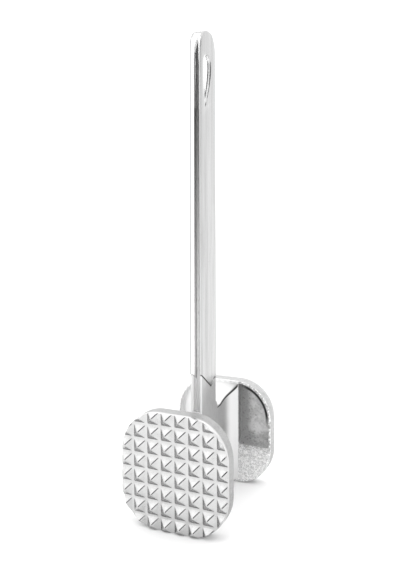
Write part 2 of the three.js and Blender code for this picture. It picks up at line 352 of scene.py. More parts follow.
@dataclass(frozen=True)
class Teeth:
    """A square field of blunt pyramids with rounded ridges, sizes in millimetres.

    Attributes:
        pitch: from tooth to tooth.
        base: a tooth's width at its foot.
        height: a tooth's height.
        tip: width of the blunt top.
        ridge: radius of the four ridges, seen from the front.
        arc: points round each ridge, an odd number so that one lies on the diagonal.
        foot: reach of the hollow at the foot of a flank.
        hollow: height of the hollow's middle, as a share of the height of its end.
        levels: heights of the rings on the flanks, as shares of the tooth's height.
        brow: height of the blunt top's edge, as such a share.
    """

    pitch: float
    base: float
    height: float
    tip: float
    ridge: float
    arc: int
    foot: float
    hollow: float = 0.28
    levels: tuple[float, ...] = (0.35, 0.6, 0.85, 0.95)
    brow: float = 0.992

    def _rings(self, half: Array) -> Array:
        """Square rings with rounded corners and a point in the middle of each side.

        A quarter is (h, 0) and r (cos t, sin t) + h - r, where r is the ridge's radius but at most h.

        Args:
            half: half the width of each ring.

        Returns:
            the rings, in x and z.
        """
        half = half[:, None, None]
        radius = np.minimum(self.ridge, half)
        turn = np.radians(np.linspace(0, 90, self.arc))
        corner = np.stack([np.cos(turn), np.sin(turn)], axis=1) * radius + (half - radius)
        quarter = np.concatenate([half * (1, 0), corner], axis=1)
        turns = np.array([[(1, 0), (0, 1)], [(0, -1), (1, 0)], [(-1, 0), (0, -1)], [(0, 1), (-1, 0)]])
        return np.einsum("qab,lnb->lqna", turns, quarter).reshape(len(half), -1, 2)

    def _cell(self) -> Array:
        """One tooth's rings from the edge of its cell to its top, the height counted towards -Y.

        Between a hollow foot and a blunt top the flanks are straight: half width = base / 2 - slope * height.

        Returns:
            the rings.
        """
        slope = (self.base - self.tip) / 2 / self.height
        half = self.base / 2
        shares = np.array(self.levels)
        rise = self.foot / slope
        foot = np.array([(half + self.foot, 0.0), (half, rise * self.hollow), (half - self.foot, rise)])
        flank = np.stack([half - slope * self.height * shares, self.height * shares], axis=1)
        top = np.array([(self.tip / 2, self.height * self.brow), (self.tip / 4, self.height)])
        width, high = np.concatenate([foot, flank, top]).T
        rings = self._rings(width)
        edge = rings[:1] / np.abs(rings[:1]).max(axis=2, keepdims=True) * self.pitch / 2
        return raised(np.concatenate([edge, rings]), 1, -np.insert(high, 0, 0.0))

    def slab(self, across: int, back: float) -> Form:
        """The field as a block: the cells side by side, then walls and a flat back.

        Args:
            across: cells along each side.
            back: the block's back, along Y.

        Returns:
            the block, its middle on the origin.
        """
        cell = self._cell()
        rings, places, _ = cell.shape
        step = (np.arange(across) - (across - 1) / 2) * self.pitch
        shift = np.stack(np.meshgrid(step, [0.0], step, indexing="ij"), axis=-1).reshape(-1, 3)
        points = (cell.reshape(-1, 3)[None] + shift[:, None]).reshape(-1, 3)
        start = np.arange(across**2)[:, None, None] * rings * places
        quads = (Form.band(rings, places)[None] + start).reshape(-1, 4)
        tops = np.arange(places)[None] + start[:, 0] + (rings - 1) * places
        grid = np.round(points / (SAME / 10)).astype(np.int64)
        _, first, where = np.unique(grid, axis=0, return_index=True, return_inverse=True)
        points, quads, tops = points[first], where.ravel()[quads], where.ravel()[tops]
        side = across * self.pitch / 2
        rim = np.flatnonzero(np.abs(np.abs(points[:, ::2]).max(axis=1) - side) < SAME / 10)
        rim = rim[np.argsort(np.arctan2(points[rim, 2], points[rim, 0]))]
        behind = points[rim] * (1, 0, 1) + (0, back, 0)
        low = np.arange(len(rim)) + len(points)
        walls = np.stack([rim, np.roll(rim, -1), np.roll(low, -1), low], axis=1)
        return Form(np.concatenate([points, behind]), [quads, tops, walls, low[None]])


COARSE = Teeth(pitch=7.2, base=5.95, height=2.45, tip=0.35, ridge=0.62, arc=7, foot=0.16)
FINE = Teeth(pitch=4.0, base=3.3, height=1.4, tip=0.3, ridge=0.36, arc=5, foot=0.1)


@dataclass(frozen=True)
class Bar:
    """The handle's sizes, in millimetres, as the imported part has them.

    Attributes:
        half: half its width.
        front: its front edge, from the middle of the head.
        rear: its rear edge.
        wall: the sleeve's wall.
        foot: the tongue's tip above the bench.
        length: from the tongue's tip to the rounded end.
        taper: share of the section lost from foot to end.
        groove: the tang's front behind the front edges.
        gap: between the tang and the sleeve.
        end_height: height of the rounded end.
        tang_drop: the tang's end below the handle's end.
    """

    half: float = 3.5
    front: float = 9.3
    rear: float = 10.6
    wall: float = 1.85
    foot: float = 59.3
    length: float = 184.9
    taper: float = 0.04
    groove: float = 3.5
    gap: float = 0.3
    end_height: float = 11.0
    tang_drop: float = 5.5

    @property
    def top(self) -> float:
        """The handle's end above the bench."""
        return self.foot + self.length

    @property
    def slot(self) -> float:
        """Half the width of the room inside the sleeve."""
        return self.half - self.wall

    @property
    def floor(self) -> float:
        """The tang's front, along Y from the middle of the head."""
        return self.groove - self.front

    def share(self, z: Any) -> Any:
        """The section's share at a height: 1 at the foot, less taper at the end."""
        return 1 - self.taper * (z - self.foot) / self.length

    def narrowed(self, points: Array) -> Array:
        """The taper: x and y shrink evenly from the foot to the end."""
        share = self.share(points[..., 2:])
        return points * np.concatenate([share, share, np.ones_like(share)], axis=-1)


BAR = Bar()


@dataclass(frozen=True)
class Foot:
    """The sleeve's lower edge in side view: down to a rounded tongue, up over a hollow and on to the rear.

    Attributes:
        place: the tongue's place along Y.
        rounding: of the tongue.
        front_rise: the front edge above the tongue's tip.
        rear_rise: the rear edge above it.
        hollow: width of the hollow behind the tongue.
        low: a height well below the edge.
        high: a height well above it.
    """

    place: float = 3.1
    rounding: float = 0.6
    front_rise: float = 8.9
    rear_rise: float = 3.9
    hollow: float = 3.6
    low: float = 30.0
    high: float = 120.0

    @property
    def rear_edge(self) -> float:
        """Height of the edge behind the hollow, above the bench."""
        return BAR.foot + self.rear_rise

    def line(self, drop: float) -> Array:
        """Points of the edge from well in front to well behind, in y and z.

        Args:
            drop: how far the edge is moved down.

        Returns:
            the points.
        """
        slope = self.front_rise / (BAR.front + self.place)
        tip = BAR.foot - drop
        shoulder = tip + slope * self.rounding
        behind = self.place + self.rounding
        tongue = bow((self.place - self.rounding, shoulder), (self.place, tip), (behind, shoulder), 9)
        hollow = bow(
            (behind, shoulder), (self.place + self.hollow / 2, tip + self.rear_rise),
            (self.place + self.hollow, tip + self.rear_rise), 9,
        )
        start = [(-PAST, tip + slope * (self.place + PAST))]
        end = [(PAST, tip + self.rear_rise)]
        return np.concatenate([start, tongue, hollow[1:], end])

    def _to(self, drop: float, level: float) -> Form:
        """Everything between the edge, moved down by a drop, and a level."""
        outline = np.concatenate([self.line(drop), [(PAST, level), (-PAST, level)]])
        return prism(outline, 0, (-PAST_SIDE, PAST_SIDE))

    def below(self, drop: float) -> Form:
        """Everything under the edge, as a cutting shape."""
        return self._to(drop, self.low)

    def above(self, drop: float) -> Form:
        """Everything over the edge, as a cutting shape."""
        return self._to(drop, self.high)


FOOT = Foot()


@dataclass(frozen=True)
class HangingHole:
    """The teardrop through the handle, dished on its front side where a hook or a string has worn it.

    Attributes:
        place: its middle along Y.
        half: half its width.
        drop: its top below the handle's end.
        crown: height of its rounded top.
        straight: length of its straight sides.
        point: length of its lower point.
        lean: how far forward the point lies.
        rear_bend: height of the rear side's bend below the straight front side.
        dish_depth: depth of the dish at the hole.
        dish_scale: the dish's outline over the hole's, along Y and Z.
        dish_shift: how far the dish lies from the hole, along Y and Z.
        dish_steps: the dish from outside the handle to the hole: how far past the side a ring lies, in
            millimetres, then how deep it lies as a share of the depth, then its share of scale and shift.
    """

    place: float = -0.5
    half: float = 4.4
    drop: float = 12.9
    crown: float = 4.6
    straight: float = 6.0
    point: float = 14.8
    lean: float = 2.0
    rear_bend: float = 3.7
    dish_depth: float = 0.3
    dish_scale: Pair = (1.3, 1.1)
    dish_shift: Pair = (-1.15, -0.7)
    dish_steps: tuple[tuple[float, float, float], ...] = (
        (0.6, 0.0, 1.35), (0.0, 0.0, 1.0), (0.0, 0.75, 0.45), (0.0, 1.0, 0.0)
    )

    @property
    def height(self) -> float:
        """The hole's whole height."""
        return self.crown + self.straight + self.point

    @property
    def low(self) -> float:
        """The point's tip above the bench."""
        return BAR.top - self.drop - self.height

    @property
    def front(self) -> float:
        """Its front behind the handle's front edges."""
        return self.place - self.half + BAR.front

    def _outline(self) -> Array:
        """The teardrop in y and z: half an ellipse, two straight sides and two quadratic curves to its tip.

        Returns:
            the points.
        """
        shoulder = BAR.top - self.drop - self.crown
        waist = shoulder - self.straight
        front, rear = self.place - self.half, self.place + self.half
        crown = arc((self.place, shoulder), (self.half, self.crown), 0, 180, 17)
        tip = (self.place - self.lean, waist - self.point)
        left = bow((front, waist), (front, waist - self.point / 2), tip, 13)
        right = bow(tip, (rear, waist - self.rear_bend), (rear, shoulder), 19)
        return np.concatenate([crown, left, right[1:-1]])

    def tool(self, dished: bool) -> Form:
        """The cutting shape along X: outlines at a stack of places, each a scaled and shifted teardrop.

        Args:
            dished: whether the handle's sides are dished.

        Returns:
            the form, tapered with the handle.
        """
        out, deep, share = np.array(self.dish_steps if dished else ((1.0, 0.0, 0.0), (0.0, 1.0, 0.0))).T
        place = BAR.half + out - self.dish_depth * deep
        place, share = np.concatenate([-place, place[::-1]]), np.concatenate([share, share[::-1]])
        scale = 1 + (np.array(self.dish_scale) - 1) * share[:, None]
        shift = np.array(self.dish_shift) * share[:, None]
        centre = np.array([self.place, BAR.top - self.drop - self.height / 2])
        rings = (self._outline() - centre) * scale[:, None] + centre + shift[:, None]
        return Form.loft(raised(rings, 0, place)).changed(BAR.narrowed)


HOLE = HangingHole()


class Value:
    """A number or a colour on its way through a material's nodes, which can be used in expressions."""

    def __init__(self, shader: "Shader", socket: Any) -> None:
        """Wrap a socket of one shader.

        Args:
            shader: the material's node tree.
            socket: an output socket.
        """
        self.shader = shader
        self.socket = socket

    def _math(self, operation: str, *values: Any) -> "Value":
        """Add a Math node that works on values in their order."""
        return self.shader.add("ShaderNodeMath", {"operation": operation}, *values)

    def __add__(self, other: Any) -> "Value":
        """The sum."""
        return self._math("ADD", self, other)

    __radd__ = __add__

    def __sub__(self, other: Any) -> "Value":
        """The difference."""
        return self._math("SUBTRACT", self, other)

    def __rsub__(self, other: Any) -> "Value":
        """A number less this value."""
        return self._math("SUBTRACT", other, self)

    def __mul__(self, other: Any) -> "Value":
        """The product."""
        return self._math("MULTIPLY", self, other)

    __rmul__ = __mul__

    def __truediv__(self, other: Any) -> "Value":
        """The quotient."""
        return self._math("DIVIDE", self, other)

    def __rtruediv__(self, other: Any) -> "Value":
        """A number over this value."""
        return self._math("DIVIDE", other, self)

    def __pow__(self, other: Any) -> "Value":
        """This value to a power."""
        return self._math("POWER", self, other)

    def __rpow__(self, other: Any) -> "Value":
        """A number to the power of this value."""
        return self._math("POWER", other, self)

    def __neg__(self) -> "Value":
        """The value with the other sign."""
        return self * -1.0

    def __abs__(self) -> "Value":
        """The value without its sign."""
        return self._math("ABSOLUTE", self)

    def least(self, other: Any) -> "Value":
        """The smaller of two values."""
        return self._math("MINIMUM", self, other)

    def most(self, other: Any) -> "Value":
        """The larger of two values."""
        return self._math("MAXIMUM", self, other)

    def wrapped(self, low: float, high: float) -> "Value":
        """The value folded into a repeating range."""
        return self._math("WRAP", self, high, low)

    def step(self, start: float, end: float) -> "Value":
        """A smooth step from 0 at start to 1 at end; end may be the smaller.

        Args:
            start: where the step is 0.
            end: where the step is 1.

        Returns:
            the step.
        """
        low, high = min(start, end), max(start, end)
        first = 0.0 if start < end else 1.0
        settings = {"interpolation_type": "SMOOTHSTEP", "clamp": True}
        return self.shader.add("ShaderNodeMapRange", settings, self, low, high, first, 1.0 - first)

    def between(self, rise: Pair, fall: Pair) -> "Value":
        """1 between two places, by a step up and a step down."""
        return self.step(*rise) * self.step(*fall)


@dataclass(frozen=True)
class Spot:
    """Where a point of a surface lies.

    Attributes:
        place: object coordinates, in metres.
        x: across the head, in millimetres.
        y: from the coarse face towards the fine face.
        z: above the bench.
    """

    place: Value
    x: Value
    y: Value
    z: Value

    @property
    def along(self) -> Value:
        """The place along Y from the middle of the head."""
        return self.y - HEAD.shift

    @property
    def away(self) -> Value:
        """The distance from the middle of the head along Y, to either side."""
        return abs(self.along)


@dataclass(frozen=True)
class Layer:
    """What one metal surface shows from place to place.

    Attributes:
        colour: its base colour.
        roughness: from 0 to 1.
        metal: 1 where the metal is bare, less where dirt or oxide lies on it.
        height: of its fine relief, in millimetres.
    """

    colour: Value
    roughness: Any
    metal: Any
    height: Value


def grey(level: float) -> tuple[float, float, float, float]:
    """A neutral colour."""
    return (level, level, level, 1.0)


class Shader:
    """One material's nodes."""

    def __init__(self, name: str) -> None:
        """Start an empty material.

        Args:
            name: the material's name.
        """
        self.material = bpy.data.materials.new(name)
        self.material.use_nodes = True
        self.tree = self.material.node_tree
        self.tree.nodes.clear()

    def add(self, kind: str, settings: dict[str, Any], *inputs: Any, out: Any = 0, **named: Any) -> Value:
        """Add a node.

        Args:
            kind: the node's type.
            settings: the node's own settings, which are set first.
            inputs: values or numbers for its sockets in order; None leaves one as it is.
            out: the name or index of the output to hand back.
            named: values or numbers for its sockets by name, with _ for a space.

        Returns:
            the chosen output, or an empty value where the node has none.
        """
        node = self.tree.nodes.new(kind)
        for key, value in settings.items():
            setattr(node, key, value)
        pairs = list(enumerate(inputs)) + [(key.replace("_", " "), value) for key, value in named.items()]
        for key, value in pairs:
            if isinstance(value, Value):
                self.tree.links.new(value.socket, node.inputs[key])
            elif value is not None:
                node.inputs[key].default_value = value
        return Value(self, node.outputs[out] if node.outputs else None)

    def blend(self, share: Any, first: Any, second: Any) -> Value:
        """A colour between two, by a share from 0 to 1.

        Args:
            share: 0 for the first colour, 1 for the second.
            first: a colour.
            second: another.

        Returns:
            the colour.
        """
        unused = (None,) * 5
        return self.add("ShaderNodeMix", {"data_type": "RGBA"}, share, *unused, first, second, out=2)

    def spot(self) -> Spot:
        """Where each point lies, from its object coordinates.

        Returns:
            the place and its three numbers.
        """
        place = self.add("ShaderNodeTexCoord", {}, out="Object")
        x, y, z = (self.add("ShaderNodeSeparateXYZ", {}, place, out=axis) / MM for axis in "XYZ")
        return Spot(place, x, y, z)

    def metal(self, layer: Layer) -> Any:
        """A metal surface, joined to the output.

        Args:
            layer: what it shows.

        Returns:
            the material.
        """
        bump = self.add("ShaderNodeBump", {}, Strength=1.0, Distance=MM, Height=layer.height)
        return self.finish(self.add(
            "ShaderNodeBsdfPrincipled", {}, Base_Color=layer.colour, Metallic=layer.metal,
            Roughness=layer.roughness, Normal=bump,
        ))

    def matt(self, level: float) -> Any:
        """A plain matt surface of one grey level, joined to the output."""
        return self.finish(self.add("ShaderNodeBsdfDiffuse", {}, Color=grey(level)))

    def finish(self, surface: Value) -> Any:
        """Join a surface to the output.

        Args:
            surface: the shader to show.

        Returns:
            the material.
        """
        self.add("ShaderNodeOutputMaterial", {}, surface)
        return self.material


@dataclass(frozen=True)
class Pattern:
    """Soft noise over a surface, and the part of its range that counts.

    Attributes:
        scale: how fine it is, in repeats a metre.
        detail: how many finer layers it has.
        rough: how strong those are.
        start: the value that gives no share.
        end: the value that gives the whole share.
        drawn: how much it is drawn out along Z; 1 for not at all, 0.01 for a hundred times.
    """

    scale: float
    detail: float
    rough: float = 0.5
    start: float = 0.0
    end: float = 1.0
    drawn: float = 1.0

    def noise(self, spot: Spot, size: float = 1.0) -> Value:
        """The noise itself.

        Args:
            spot: where it is wanted.
            size: how much coarser it is made.

        Returns:
            a value about 0.5.
        """
        shader, place = spot.place.shader, spot.place
        if self.drawn != 1.0:
            place = shader.add("ShaderNodeMapping", {}, place, Scale=(1.0, 1.0, self.drawn))
        sizes = {"Scale": self.scale / size, "Detail": self.detail, "Roughness": self.rough}
        return shader.add("ShaderNodeTexNoise", {}, Vector=place, **sizes)

    def share(self, spot: Spot, size: float = 1.0) -> Value:
        """The share from 0 to 1, by a smooth step over the range that counts."""
        return self.noise(spot, size).step(self.start, self.end)


@dataclass(frozen=True)
class CastFinish:
    """Cast aluminium: a satin skin with patches, specks and fine pits.

    Attributes:
        name: the material's name.
        light: the base colour's level where the skin is clean.
        dark: the level in the patches.
        roughness: of the clean skin.
        grain: how much coarser than the patterns the skin is.
        skin: height of the pits, in millimetres.
        metal: 1 for bare metal, less under a dull grey skin.
        patches: the broad pattern.
        specks: the fine pattern.
        pits: the relief's pattern.
        patch_share: how much of the mottle the patches make; the specks make the rest.
        mottle_rough: how much rougher the mottle is.
    """

    name: str
    light: float
    dark: float
    roughness: float
    grain: float
    skin: float
    metal: float = 1.0
    patches: Pattern = Pattern(220.0, 3.0, start=0.38, end=0.68)
    specks: Pattern = Pattern(900.0, 2.0, start=0.42, end=0.72)
    pits: Pattern = Pattern(1300.0, 3.0)
    patch_share: float = 0.6
    mottle_rough: float = 0.1

    def _layer(self, shader: Shader, spot: Spot) -> Layer:
        """The plain skin.

        Args:
            shader: the material being built.
            spot: where each point lies.

        Returns:
            the layer.
        """
        patches = self.patches.share(spot, self.grain) * self.patch_share
        mottle = patches + self.specks.share(spot, self.grain) * (1 - self.patch_share)
        colour = shader.blend(mottle, grey(self.light), grey(self.dark))
        relief = self.pits.noise(spot, self.grain) * self.skin
        return Layer(colour, mottle * self.mottle_rough + self.roughness, self.metal, relief)

    def make(self) -> Any:
        """Build the material.

        Returns:
            the material.
        """
        shader = Shader(self.name)
        return shader.metal(self._layer(shader, shader.spot()))


@dataclass(frozen=True)
class FaceFinish(CastFinish):
    """A face plate's casting: bright teeth, a rough stretch behind them and pockets, with painted shade and
    painted light.

    A pair of numbers says where a mask starts and where it is whole, in millimetres; those that are measured
    from the back count from the plate's back towards its teeth.

    Attributes:
        teeth: the teeth's sizes.
        tooth: a tooth's edge, from its foot inwards.
        flank: the edge of the two flanks with painted shade, from the ridges inwards.
        foot_shade_level: the base colour's level of the painted shade at the foot of the lower and left-hand
            flanks.
        foot_shade_reach: how far up a flank that painted shade reaches, and where it is whole.
        foot_shade_least: its share at the top of a flank, and what is added to that at the foot.
        ridge_shade: half width of the painted dark reflection along a tooth's upper right ridge, and where it
            is whole.
        ridge_start: how far from the tooth's middle it starts, across and up together.
        ridge_share: how dark that painted reflection is.
        rim_level: the level on the plate's edge behind the teeth.
        rim: the rough stretch, from the back.
        back_level: the level on the plate's back, painted bright to stand in for the light from the floor
            that its shaded face misses.
        back: the back itself.
        stain_share: how far the stains darken both.
        stain_level: the stains' own level.
        stain_low: height at which the stains are half as strong, and where they are whole.
        stains: the fine stains.
        blots: the broad stains.
        blot_share: how far these darken the metal.
        fringe: the noise that breaks up the painted shade carried a little below the ledge's edge.
        fringe_high: its height above the bench.
        fringe_side: its place beside the web.
        pocket: a pocket's walls and floor, from the back.
        pocket_inset: how far it lies inside the plate's outline.
        pocket_shade_near: the level of the painted shade in a pocket beside the web, also used below the
            ledge.
        pocket_shade_far: the level of the painted shade in a pocket at the plate's side.
        pocket_side: the places across the head of both.
        pocket_low: the pocket's lower part, where the painted shade is darker.
        low_share: how much darker it is.
        blotches: the blotches that make the painted shade on its floor uneven.
        blotch_share: how far that darkens it.
        specks_in: the dark specks in it.
        speck_share: how dark they are beside the web, and how much less so at the side.
        painted_light_side: where the left pocket starts, which is painted light instead of shade, standing in
            for a bright reflection.
        painted_light_level: the level in it.
        line_level: the level of the painted shadow line under the rim and of the specks.
        line_shift: how far the line's outline is moved right and up.
        line_start: its distance inside that outline, outer side.
        line_end: the same, inner side.
        line_high: the height at which it fades in.
        line_side: the place across the head where it does.
        corner_start: the painted shade in the corner beside the web, far side.
        corner_end: its near side.
        corner_share: how dark it is.
        rough_gain: how much rougher the stretch behind the teeth is.
        relief_gain: how much higher its pits are.
        bare_loss: how much less bare its metal is.
    """

    teeth: Teeth = COARSE
    tooth: Pair = (-0.15, 0.1)
    flank: Pair = (0.0, 0.3)
    foot_shade_level: float = 0.12
    foot_shade_reach: Pair = (2.6, 0.0)
    foot_shade_least: Pair = (0.15, 0.5)
    ridge_shade: Pair = (0.5, 0.2)
    ridge_start: Pair = (0.2, 0.6)
    ridge_share: float = 0.6
    rim_level: float = 0.35
    rim: Pair = (7.0, 6.0)
    back_level: float = 0.98
    back: Pair = (0.6, 0.2)
    stain_share: float = 0.5
    stain_level: float = 0.102
    stain_low: Pair = (30.0, 18.0)
    stains: Pattern = Pattern(1500.0, 3.0, 0.65, 0.4, 0.62)
    blots: Pattern = Pattern(520.0, 4.0, 0.75, 0.46, 0.64)
    blot_share: float = 0.35
    fringe: Pattern = Pattern(900.0, 3.0, 0.7, 0.45, 0.6)
    fringe_high: Pair = (17.0, 21.0)
    fringe_side: Pair = (8.0, 10.0)
    pocket: Pair = (0.2, 1.0)
    pocket_inset: Pair = (0.7, 1.2)
    pocket_shade_near: float = 0.34
    pocket_shade_far: float = 0.74
    pocket_side: Pair = (11.0, 18.0)
    pocket_low: Pair = (30.0, 24.0)
    low_share: float = 0.6
    blotches: Pattern = Pattern(260.0, 4.0, 0.75, 0.4, 0.66)
    blotch_share: float = 0.45
    specks_in: Pattern = Pattern(800.0, 4.0, 0.8, 0.54, 0.66)
    speck_share: Pair = (0.75, 0.4)
    painted_light_side: Pair = (0.0, -4.0)
    painted_light_level: float = 0.9
    line_level: float = 0.04
    line_shift: float = 1.6
    line_start: Pair = (0.9, 1.3)
    line_end: Pair = (2.7, 2.1)
    line_high: Pair = (30.0, 38.0)
    line_side: Pair = (8.0, 14.0)
    corner_start: Pair = (10.6, 9.4)
    corner_end: Pair = (0.0, 4.0)
    corner_share: float = 0.12
    rough_gain: float = 0.2
    relief_gain: float = 3.0
    bare_loss: float = 0.5

    @staticmethod
    def _inset(x: Value, z: Value) -> Value:
        """How far a place lies inside the plate's outline.

        It is corner - hypot(max(|x| - a, 0), max(|z - h| - b, 0)) about the corners' centres (a, h +- b).

        Args:
            x: across the head, in millimetres.
            z: above the bench.

        Returns:
            the distance.
        """
        across = (abs(x) - (HEAD.width / 2 - HEAD.corner)).most(0.0)
        up = (abs(z - HEAD.height / 2) - (HEAD.height / 2 - HEAD.corner)).most(0.0)
        return HEAD.corner - (across * across + up * up) ** 0.5

    def _flank_shade(self, spot: Spot) -> Value:
        """The share of painted shade on the lower and left-hand flanks, and of painted reflection on the
        upper right ridge.

        u and v are the distances from the middle of a tooth; a place lies on the left-hand flank where
        -u > |v|, on the lower one where -v > |u| and on that ridge where u = v > 0.

        Args:
            spot: where each point lies.

        Returns:
            the share.
        """
        pitch = self.teeth.pitch
        u = spot.x.wrapped(0.0, pitch) - pitch / 2
        v = (spot.z - HEAD.height / 2).wrapped(0.0, pitch) - pitch / 2
        rise = self.teeth.base / 2 - abs(u).most(abs(v))
        least, more = self.foot_shade_least
        flank = (-(u + abs(v))).most(-(v + abs(u))).step(*self.flank)
        flank = flank * (rise.step(*self.foot_shade_reach) * more + least)
        ridge = abs(u - v).step(*self.ridge_shade) * (u + v).step(*self.ridge_start) * self.ridge_share
        return flank.most(ridge) * rise.step(*self.tooth)

    def _stained(self, shader: Shader, spot: Spot, back: Value) -> Value:
        """The colour of the plate's edge and back, the back painted bright, stained most near the bench, with
        painted shade below the ledge.

        Args:
            shader: the material being built.
            spot: where each point lies.
            back: the share of the back.

        Returns:
            the colour.
        """
        # painted light: the back, which the other plate and the web shade, gets a much paler level than the
        # edge
        plain = shader.blend(back, grey(self.rim_level), grey(self.back_level))
        low = spot.z.step(*self.stain_low) * 0.5 + 0.5
        stains = self.stains.share(spot) * low * self.stain_share
        blots = self.blots.share(spot) * self.blot_share
        stained = shader.blend(stains.most(blots), plain, grey(self.stain_level))
        # painted shade: the pockets' shade level carried just below the ledge, broken up by noise
        fringe = self.fringe.share(spot) * spot.z.step(*self.fringe_high) * spot.x.step(*self.fringe_side)
        return shader.blend(fringe * back, stained, grey(self.pocket_shade_near))

    def _pocket_shade(self, shader: Shader, spot: Spot) -> Value:
        """The colour in the pockets: painted shade, dark beside the web and low down, with blotches and
        specks.

        Args:
            shader: the material being built.
            spot: where each point lies.

        Returns:
            the colour.
        """
        low = spot.z.step(*self.pocket_low) * self.low_share
        blotches = self.blotches.share(spot) * self.blotch_share
        # painted shade: darkest beside the web and low down, paler at the plate's side
        pale = (spot.x.step(*self.pocket_side) - low - blotches).most(0.0)
        floor = shader.blend(pale, grey(self.pocket_shade_near), grey(self.pocket_shade_far))
        near, less = self.speck_share
        specks = self.specks_in.share(spot) * (near - pale * less)
        floor = shader.blend(specks, floor, grey(self.line_level))
        # the left pocket gets painted light instead of the painted shade
        return shader.blend(spot.x.step(*self.painted_light_side), floor, grey(self.painted_light_level))

    def _rim_and_corner_shade(self, spot: Spot) -> Value:
        """The share of the painted shadow along a pocket's edge under its rim, and of the painted shade in
        its corner beside the web.

        Args:
            spot: where each point lies.

        Returns:
            the share.
        """
        line = self._inset(spot.x + self.line_shift, spot.z + self.line_shift)
        line = line.between(self.line_start, self.line_end)
        line = line * spot.z.step(*self.line_high) * spot.x.step(*self.line_side)
        return line.most(spot.x.between(self.corner_start, self.corner_end) * self.corner_share)

    def _layer(self, shader: Shader, spot: Spot) -> Layer:
        """The skin, with painted shade on the teeth and in the pockets and painted light on the plate's back.

        Args:
            shader: the material being built.
            spot: where each point lies.

        Returns:
            the layer.
        """
        skin = super()._layer(shader, spot)
        out = spot.away - HEAD.inner
        # painted shade on the lower and left-hand flanks and a painted dark reflection on the upper right
        # ridges
        flank_shade = self._flank_shade(spot) * out.step(HEAD.thick - 0.1, HEAD.thick)
        rough = out.step(*self.rim)
        pocket = out.step(*self.pocket) * rough * self._inset(spot.x, spot.z).step(*self.pocket_inset)
        colour = shader.blend(flank_shade, skin.colour, grey(self.foot_shade_level))
        colour = shader.blend(rough, colour, self._stained(shader, spot, out.step(*self.back)))
        # painted shade in the pockets, with painted light in the left one
        colour = shader.blend(pocket, colour, self._pocket_shade(shader, spot))
        # painted shadow under the pocket's rim and painted shade in its corner beside the web
        colour = shader.blend(pocket * self._rim_and_corner_shade(spot), colour, grey(self.line_level))
        relief = skin.height * (rough * self.relief_gain + 1.0)
        return Layer(colour, skin.roughness + rough * self.rough_gain, 1.0 - rough * self.bare_loss, relief)


@dataclass(frozen=True)
class SlotShade:
    """Painted shade in the handle's slot, darkest at the handle's end.

    Attributes:
        end_level: the base colour's level of the painted shade at the handle's end.
        foot_shade_level: its level at the slot's foot.
        clump_level: the level in paler clumps.
        low: height of the foot level above the bench, in millimetres.
        high: height of the end level.
        clumps: the clumps' pattern.
        clump_share: how far they change the colour.
        rough_gain: how much rougher the shaded stretch is than what it lies on.
    """

    end_level: float = 0.07
    foot_shade_level: float = 0.84
    clump_level: float = 0.36
    low: float = 55.0
    high: float = 235.0
    clumps: Pattern = Pattern(1100.0, 3.0, 0.7, 0.35, 0.7, 0.4)
    clump_share: float = 0.35
    rough_gain: float = 0.3

    def cover(self, shader: Shader, spot: Spot, share: Value, under: Layer) -> Layer:
        """Lay the painted shade over a layer.

        Args:
            shader: the material being built.
            spot: where each point lies.
            share: how much of each place is covered.
            under: the layer that it lies on.

        Returns:
            the layer with its painted shade.
        """
        # painted shade, darker towards the handle's end
        slot_shade = shader.blend(spot.z.step(self.low, self.high), grey(self.foot_shade_level), grey(self.end_level))
        slot_shade = shader.blend(self.clumps.share(spot) * self.clump_share, slot_shade, grey(self.clump_level))
        colour = shader.blend(share, under.colour, slot_shade)
        roughness = share * self.rough_gain + under.roughness
        return Layer(colour, roughness, (1.0 - share) * under.metal, under.height)


